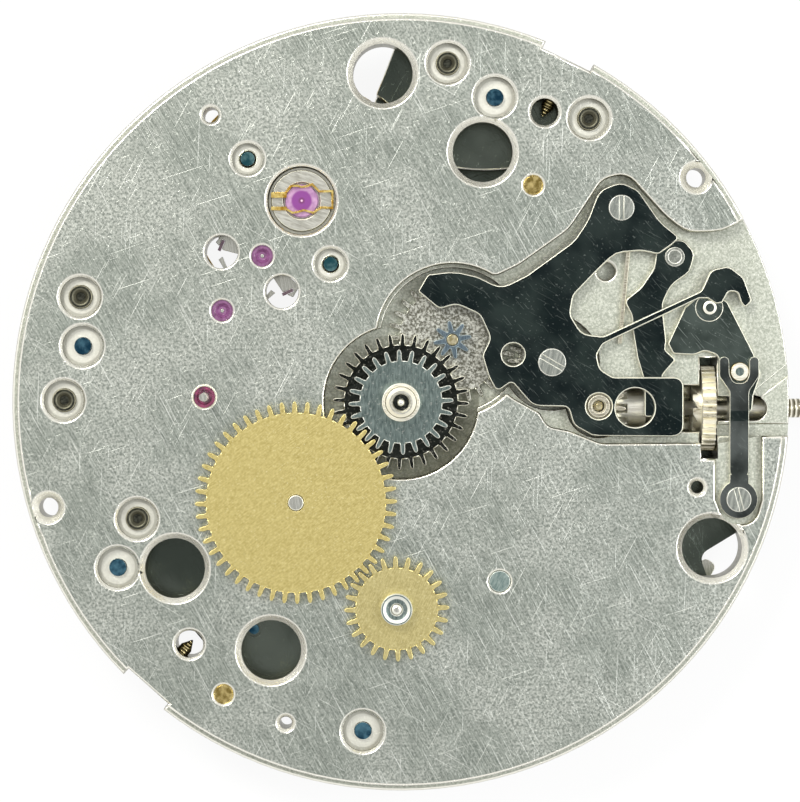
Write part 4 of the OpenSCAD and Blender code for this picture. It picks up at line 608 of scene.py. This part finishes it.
# Nodes whose arrises are broken: width of the bevel in millimetres, and the finish
FINISHED = {
    "main_plate": (0.11, PLATE),
    "setting_lever_jumper": (0.06, BLACK),
    "setting_lever": (0.06, BLACK_WORN),
    "setting_lever_spring": (0.07, SATIN_BLACK),
    "yoke": (0.06, BLACK),
    "jumper_screws": (0.06, PALE_HEAD),
    "fork_spring_screw": (0.06, PALE_HEAD),
    "yoke_pin": (0.06, FROST_HEAD),
    "yoke_spring": (0.04, WARM_STEEL),
    "setting_lever_axle": (0.05, CREAM),
    "sliding_pinion": (0.04, STEM_STEEL_HIGHLIGHT),
    "winding_pinion": (0.03, TOOTH_GILT),
    "winding_stem": (0.03, STEM_STEEL_HIGHLIGHT),
    "setting_wheel": (0.03, WARM_STEEL),
    "intermediate_setting_wheel": (0.03, FROSTED),
    "minute_wheel": (0.03, FROSTED),
    "hour_wheel": (0.05, DARK_STEEL),
    "cannon_pinion": (0.04, WARM_STEEL),
    "centre_wheel": (0.02, BRASS_TRAIN),
    "third_wheel": (0.02, BRASS_TRAIN),
    "fourth_wheel": (0.02, BRASS_TRAIN),
    "hour_idler_wheel": (0.035, BRASS_BIG),
    "small_hour_wheel": (0.035, BRASS_SMALL),
    "small_hour_tube": (0.05, BLUE_GREY),
    "small_hour_post": (0.03, BRIGHT),
    "idler_post": (0.06, BRIGHT),
    "wheel_posts": (0.04, PALE_GILT),
    "plate_plugs": (0.04, PLUG),
    "lower_shock_block": (0.05, SHOCK_STEEL),
    "lower_shock_spring": (0.02, GOLD),
    "bridge_steady_pins": (0.05, TARNISHED),
    "dial_foot_screws": (0.02, TIP_THREAD),
    "bridge_screws": (0.05, BLUED),
    "pallet_bridge_screws": (0.04, TURQUOISE),
    "barrel_bridge": (0.07, PLATE),
    "train_bridge": (0.07, PLATE),
    "balance_cock": (0.07, PLATE),
    "pallet_bridge": (0.04, PLATE),
    "barrel_arbor": (0.04, ARBOR),
    "ratchet_wheel": (0.05, BRIGHT),
    "crown_wheel": (0.05, BRIGHT),
    "ratchet_screw": (0.02, BLUED),
    "crown_wheel_core": (0.02, BLUED),
    "click": (0.03, BRIGHT),
    "click_screw": (0.02, BLUED),
    "regulator": (0.03, BRIGHT),
    "balance_wheel": (0.03, GILT),
    "upper_shock_setting": (0.04, BRIGHT),
    "escape_wheel": (0.015, BRIGHT),
    "pallet_fork": (0.02, BRIGHT),
}
DRESSED = {
    "plate_jewels": VIOLET,
    "bridge_jewels": RUBY,
    "lower_cap_jewel": CAP,
    "barrel_drum": BRASS_TRAIN,
    "barrel_cover": BRASS_TRAIN,
    "pallet_stones": STONE,
    "balance_staff": BRIGHT,
    "hairspring_stud": BRIGHT,
}


def at_levels(*levels):
    """The full width on arrises at one of those heights, in millimetres, and none elsewhere."""
    return lambda end, turn: 1.0 if any(abs(end.z - z) < 0.004 for z in levels) else 0.0


def plate_share(end, turn):
    """Wide on the outlines of the dial face and the casing step, fine on countersinks and ledges."""
    if at_levels(0.0, CASING_STEP)(end, turn):
        return 1.0 if turn > math.radians(80) else 0.4
    return 0.5 * at_levels(RECESS_FLOOR)(end, turn)


def beside_detent(end, turn):
    """The setting lever's outline, without the low collar round its pin."""
    away = math.hypot(end.x - DETENT[0], end.y - DETENT[1])
    return 1.0 if (abs(end.z - LEVER_TOP) < 0.004 and away > 0.72) else 0.0


# Which arrises are broken where a low step on the piece would hold the bevel small
PLACES = {
    "main_plate": plate_share,
    "setting_lever": beside_detent,
    "setting_lever_jumper": at_levels(LEAF_TOP),
    "yoke": at_levels(LEVER_TOP),
}
made = {}
for node, (width, material) in FINISHED.items():
    made[node] = edge_broken(node, width, material, PLACES.get(node), clamp=node not in PLACES)
for node, material in DRESSED.items():
    dress(node, material)


def paint_where(obj, material, test):
    """Gives the faces whose centre passes the test another finish."""
    obj.data.materials.append(material)
    index = len(obj.data.materials) - 1
    for face in obj.data.polygons:
        if test(face.center / MM, face.normal):
            face.material_index = index


def near(x, y, radius):
    """A test for faces that lie within that distance of an axis."""
    return lambda c, n: math.hypot(c.x - x, c.y - y) < radius


paint_where(made["hour_wheel"], BLUE_GREY, lambda c, n: UPPER_TEETH < c.z < HOUR_TUBE)
paint_where(made["hour_wheel"], CREAM, lambda c, n: c.z > HOUR_TUBE)
paint_where(made["cannon_pinion"], SHOCK_STEEL, lambda c, n: c.z > 1.2 and near(*CENTRE, 0.56)(c, n))
paint_where(made["minute_wheel"], LEAF_BLUE, lambda c, n: c.z > -0.9)
paint_where(made["centre_wheel"], BRIGHT, near(*CENTRE, 1.4))
paint_where(made["centre_wheel"], DARK_STEEL, lambda c, n: c.z > 0 and near(*CENTRE, 0.5)(c, n))
paint_where(made["third_wheel"], BRIGHT, near(*THIRD, 0.85))
paint_where(made["fourth_wheel"], BRIGHT, near(*FOURTH, 0.75))
paint_where(made["winding_stem"], THREAD, lambda c, n: c.x > CASING_EDGE)
paint_where(made["dial_foot_screws"], WARM_STEEL, lambda c, n: not near(*CENTRE, FOOT_SCREW_HEAD)(c, n))
paint_where(made["setting_lever"], CREAM, lambda c, n: c.z > -0.2 and n.z < 0.97)
paint_where(made["setting_lever_axle"], GILT, lambda c, n: not near(*LEVER_AXLE, 0.385)(c, n))
paint_where(made["setting_lever_axle"], BLUE_GREY, lambda c, n: n.z > 0.9 and c.z < LEVER_TOP + 0.22)
# Painted shade: the gently sloped faces of the spring's bend take the darker black steel
paint_where(made["setting_lever_spring"], BLACK, lambda c, n: 0.98 < n.z < 0.9985)

steady = [(x, y) for x, y, radius in HOLLOWS if radius == STEADY_COUNTERBORE]
paint_where(made["bridge_steady_pins"], PIN_FACE,
            lambda c, n: any(near(x, y, 0.4)(c, n) for x, y in steady))
paint_where(nodes["plate_jewels"], RUBY, near(*FOURTH, 1.0))


def wound_strip(piece, node, centre, inner, outer, turns, thick, low, high, material, steps=30):
    """A flat spiral of strip: one end face, extruded, turned and let out step by step."""
    bpy.ops.object.select_all(action="DESELECT")
    bpy.ops.mesh.primitive_plane_add(
        size=1, location=((centre[0] + inner) * MM, centre[1] * MM, (low + high) / 2 * MM),
        rotation=(math.pi / 2, 0, 0))
    obj = bpy.context.object
    obj.name = piece
    obj.scale = (thick * MM, (high - low) * MM, 1)
    bpy.ops.object.transform_apply(location=True, rotation=True, scale=True)
    bpy.ops.object.mode_set(mode="EDIT")
    bpy.ops.mesh.select_all(action="SELECT")
    middle = (centre[0] * MM, centre[1] * MM, 0)
    step = 2 * math.pi / steps
    growth = (outer - inner) / (turns * steps) * MM
    for k in range(round(turns * steps)):
        bpy.ops.mesh.extrude_region_move()
        bpy.ops.transform.rotate(value=-step, orient_axis="Z", center_override=middle)
        angle = (k + 1) * step
        bpy.ops.transform.translate(value=(growth * math.cos(angle), growth * math.sin(angle), 0))
    bpy.ops.mesh.select_all(action="SELECT")
    bpy.ops.mesh.normals_make_consistent(inside=False)
    bpy.ops.object.mode_set(mode="OBJECT")
    bpy.ops.object.shade_smooth_by_angle(angle=math.radians(40))
    obj.data.materials.append(material)
    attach(obj, nodes[node]["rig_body"])
    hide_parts(node)
    return obj


def turned_piece(piece, node, material, make, **settings):
    """A small turned detail on a node's body, from one primitive."""
    bpy.ops.object.select_all(action="DESELECT")
    make(**settings)
    obj = bpy.context.object
    obj.name = piece
    bpy.ops.object.transform_apply(location=True, rotation=True, scale=True)
    bpy.ops.object.shade_smooth()
    obj.data.materials.append(material)
    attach(obj, nodes[node]["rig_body"])
    return obj


turned_piece("detent_collar_edge", "setting_lever", CREAM, bpy.ops.mesh.primitive_torus_add,
             location=(DETENT[0] * MM, DETENT[1] * MM, (LEVER_TOP + 0.024) * MM),
             major_radius=0.64 * MM, minor_radius=0.02 * MM, major_segments=72, minor_segments=10)
turned_piece("centre_arbor_point", "centre_wheel", BRIGHT, bpy.ops.mesh.primitive_uv_sphere_add,
             location=(*CENTRE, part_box("centre_wheel")[1].z - 0.06 * MM),
             radius=0.17 * MM, segments=32, ring_count=16)

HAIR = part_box("hairspring")
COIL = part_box("mainspring")
hairspring = wound_strip("hairspring_wound", "hairspring", BALANCE, 0.62, 3.0, 11, 0.035,
                         HAIR[0].z / MM, HAIR[1].z / MM, SPRING_BLUE, 36)
mainspring = wound_strip("mainspring_wound", "mainspring", BARREL, 1.85, 6.6, 13, 0.1,
                         COIL[0].z / MM, COIL[1].z / MM, SPRING_BLUE, 32)


# Floor, camera and light

FRAME_PX = (800, 802)
PX_MM = 0.04692
DISC_CENTRE_PX = (401, 402)
AXIS_PX = (400, 350)
CAMERA_MM = 160.0
SENSOR = 36.0

bpy.ops.object.select_all(action="DESELECT")
bpy.ops.mesh.primitive_plane_add(size=1.2, location=(0, 0, cad_box[0].z - 0.02 * MM))
floor = bpy.context.object
floor.name = "floor"
floor_material, tree, shader = new_material("white_paper")
shader.inputs["Base Color"].default_value = linear("#F4F4F2")
shader.inputs["Roughness"].default_value = 0.9
seen = add(tree, "ShaderNodeLightPath")
glow = add(tree, "ShaderNodeEmission", {"Color": (1, 1, 1, 1), "Strength": 1.0})
direct = calc(tree, "MAXIMUM", calc(tree, "MAXIMUM", seen.outputs["Is Camera Ray"],
              seen.outputs["Is Glossy Ray"]), seen.outputs["Is Transmission Ray"])
blend = add(tree, "ShaderNodeMixShader", {0: calc(tree, "MULTIPLY", direct, 0.9)})
tree.links.new(shader.outputs[0], blend.inputs[1])
tree.links.new(glow.outputs[0], blend.inputs[2])
output = next(n for n in tree.nodes if n.type == "OUTPUT_MATERIAL")
tree.links.new(blend.outputs[0], output.inputs[0])
floor.data.materials.append(floor_material)


def px_to_mm(px, py):
    return (px - DISC_CENTRE_PX[0]) * PX_MM, (DISC_CENTRE_PX[1] - py) * PX_MM


height_mm = FRAME_PX[1] * PX_MM
middle = px_to_mm(FRAME_PX[0] / 2, FRAME_PX[1] / 2)
axis = px_to_mm(*AXIS_PX)
camera_data = bpy.data.cameras.new("camera")
camera = bpy.data.objects.new("camera", camera_data)
scene.collection.objects.link(camera)
camera_data.sensor_width = SENSOR
camera_data.lens = CAMERA_MM * SENSOR / height_mm
camera_data.shift_x = (middle[0] - axis[0]) / height_mm
camera_data.shift_y = (middle[1] - axis[1]) / height_mm
camera_data.clip_start = 0.01
camera_data.clip_end = 10
camera.location = (axis[0] * MM, axis[1] * MM, CAMERA_MM * MM)
scene.camera = camera

world = bpy.data.worlds.new("light_tent")
scene.world = world
world.use_nodes = True
tree = world.node_tree
tree.nodes.clear()
output = add(tree, "ShaderNodeOutputWorld")
direction = add(tree, "ShaderNodeTexCoord").outputs["Generated"]
up = add(tree, "ShaderNodeSeparateXYZ", {"Vector": direction}).outputs["Z"]
tent = ramp(tree, up, 0.55, 1.0, 1.0, 0.62)
seen = add(tree, "ShaderNodeLightPath")
strength = calc(tree, "MAXIMUM", calc(tree, "MULTIPLY", seen.outputs["Is Camera Ray"], 1.0), tent)
back = add(tree, "ShaderNodeBackground", {"Color": (1, 1, 1, 1), "Strength": strength})
tree.links.new(back.outputs[0], output.inputs[0])


def lamp(name, place, size, watts, colour="#FFFFFF"):
    """A soft box aimed at the movement's centre."""
    data = bpy.data.lights.new(name, "AREA")
    data.shape = "DISK"
    data.size = size
    data.energy = watts
    data.color = linear(colour)[:3]
    obj = bpy.data.objects.new(name, data)
    scene.collection.objects.link(obj)
    obj.location = place
    obj.rotation_euler = (-Vector(place)).to_track_quat("-Z", "Y").to_euler()
    return obj


lamp("key_softbox", (-0.16, 0.22, 0.30), 0.16, 1.1, "#FFFDF8")
lamp("fill_softbox", (0.24, 0.02, 0.26), 0.14, 0.5, "#F8FBFF")

scene.view_settings.view_transform = "Standard"
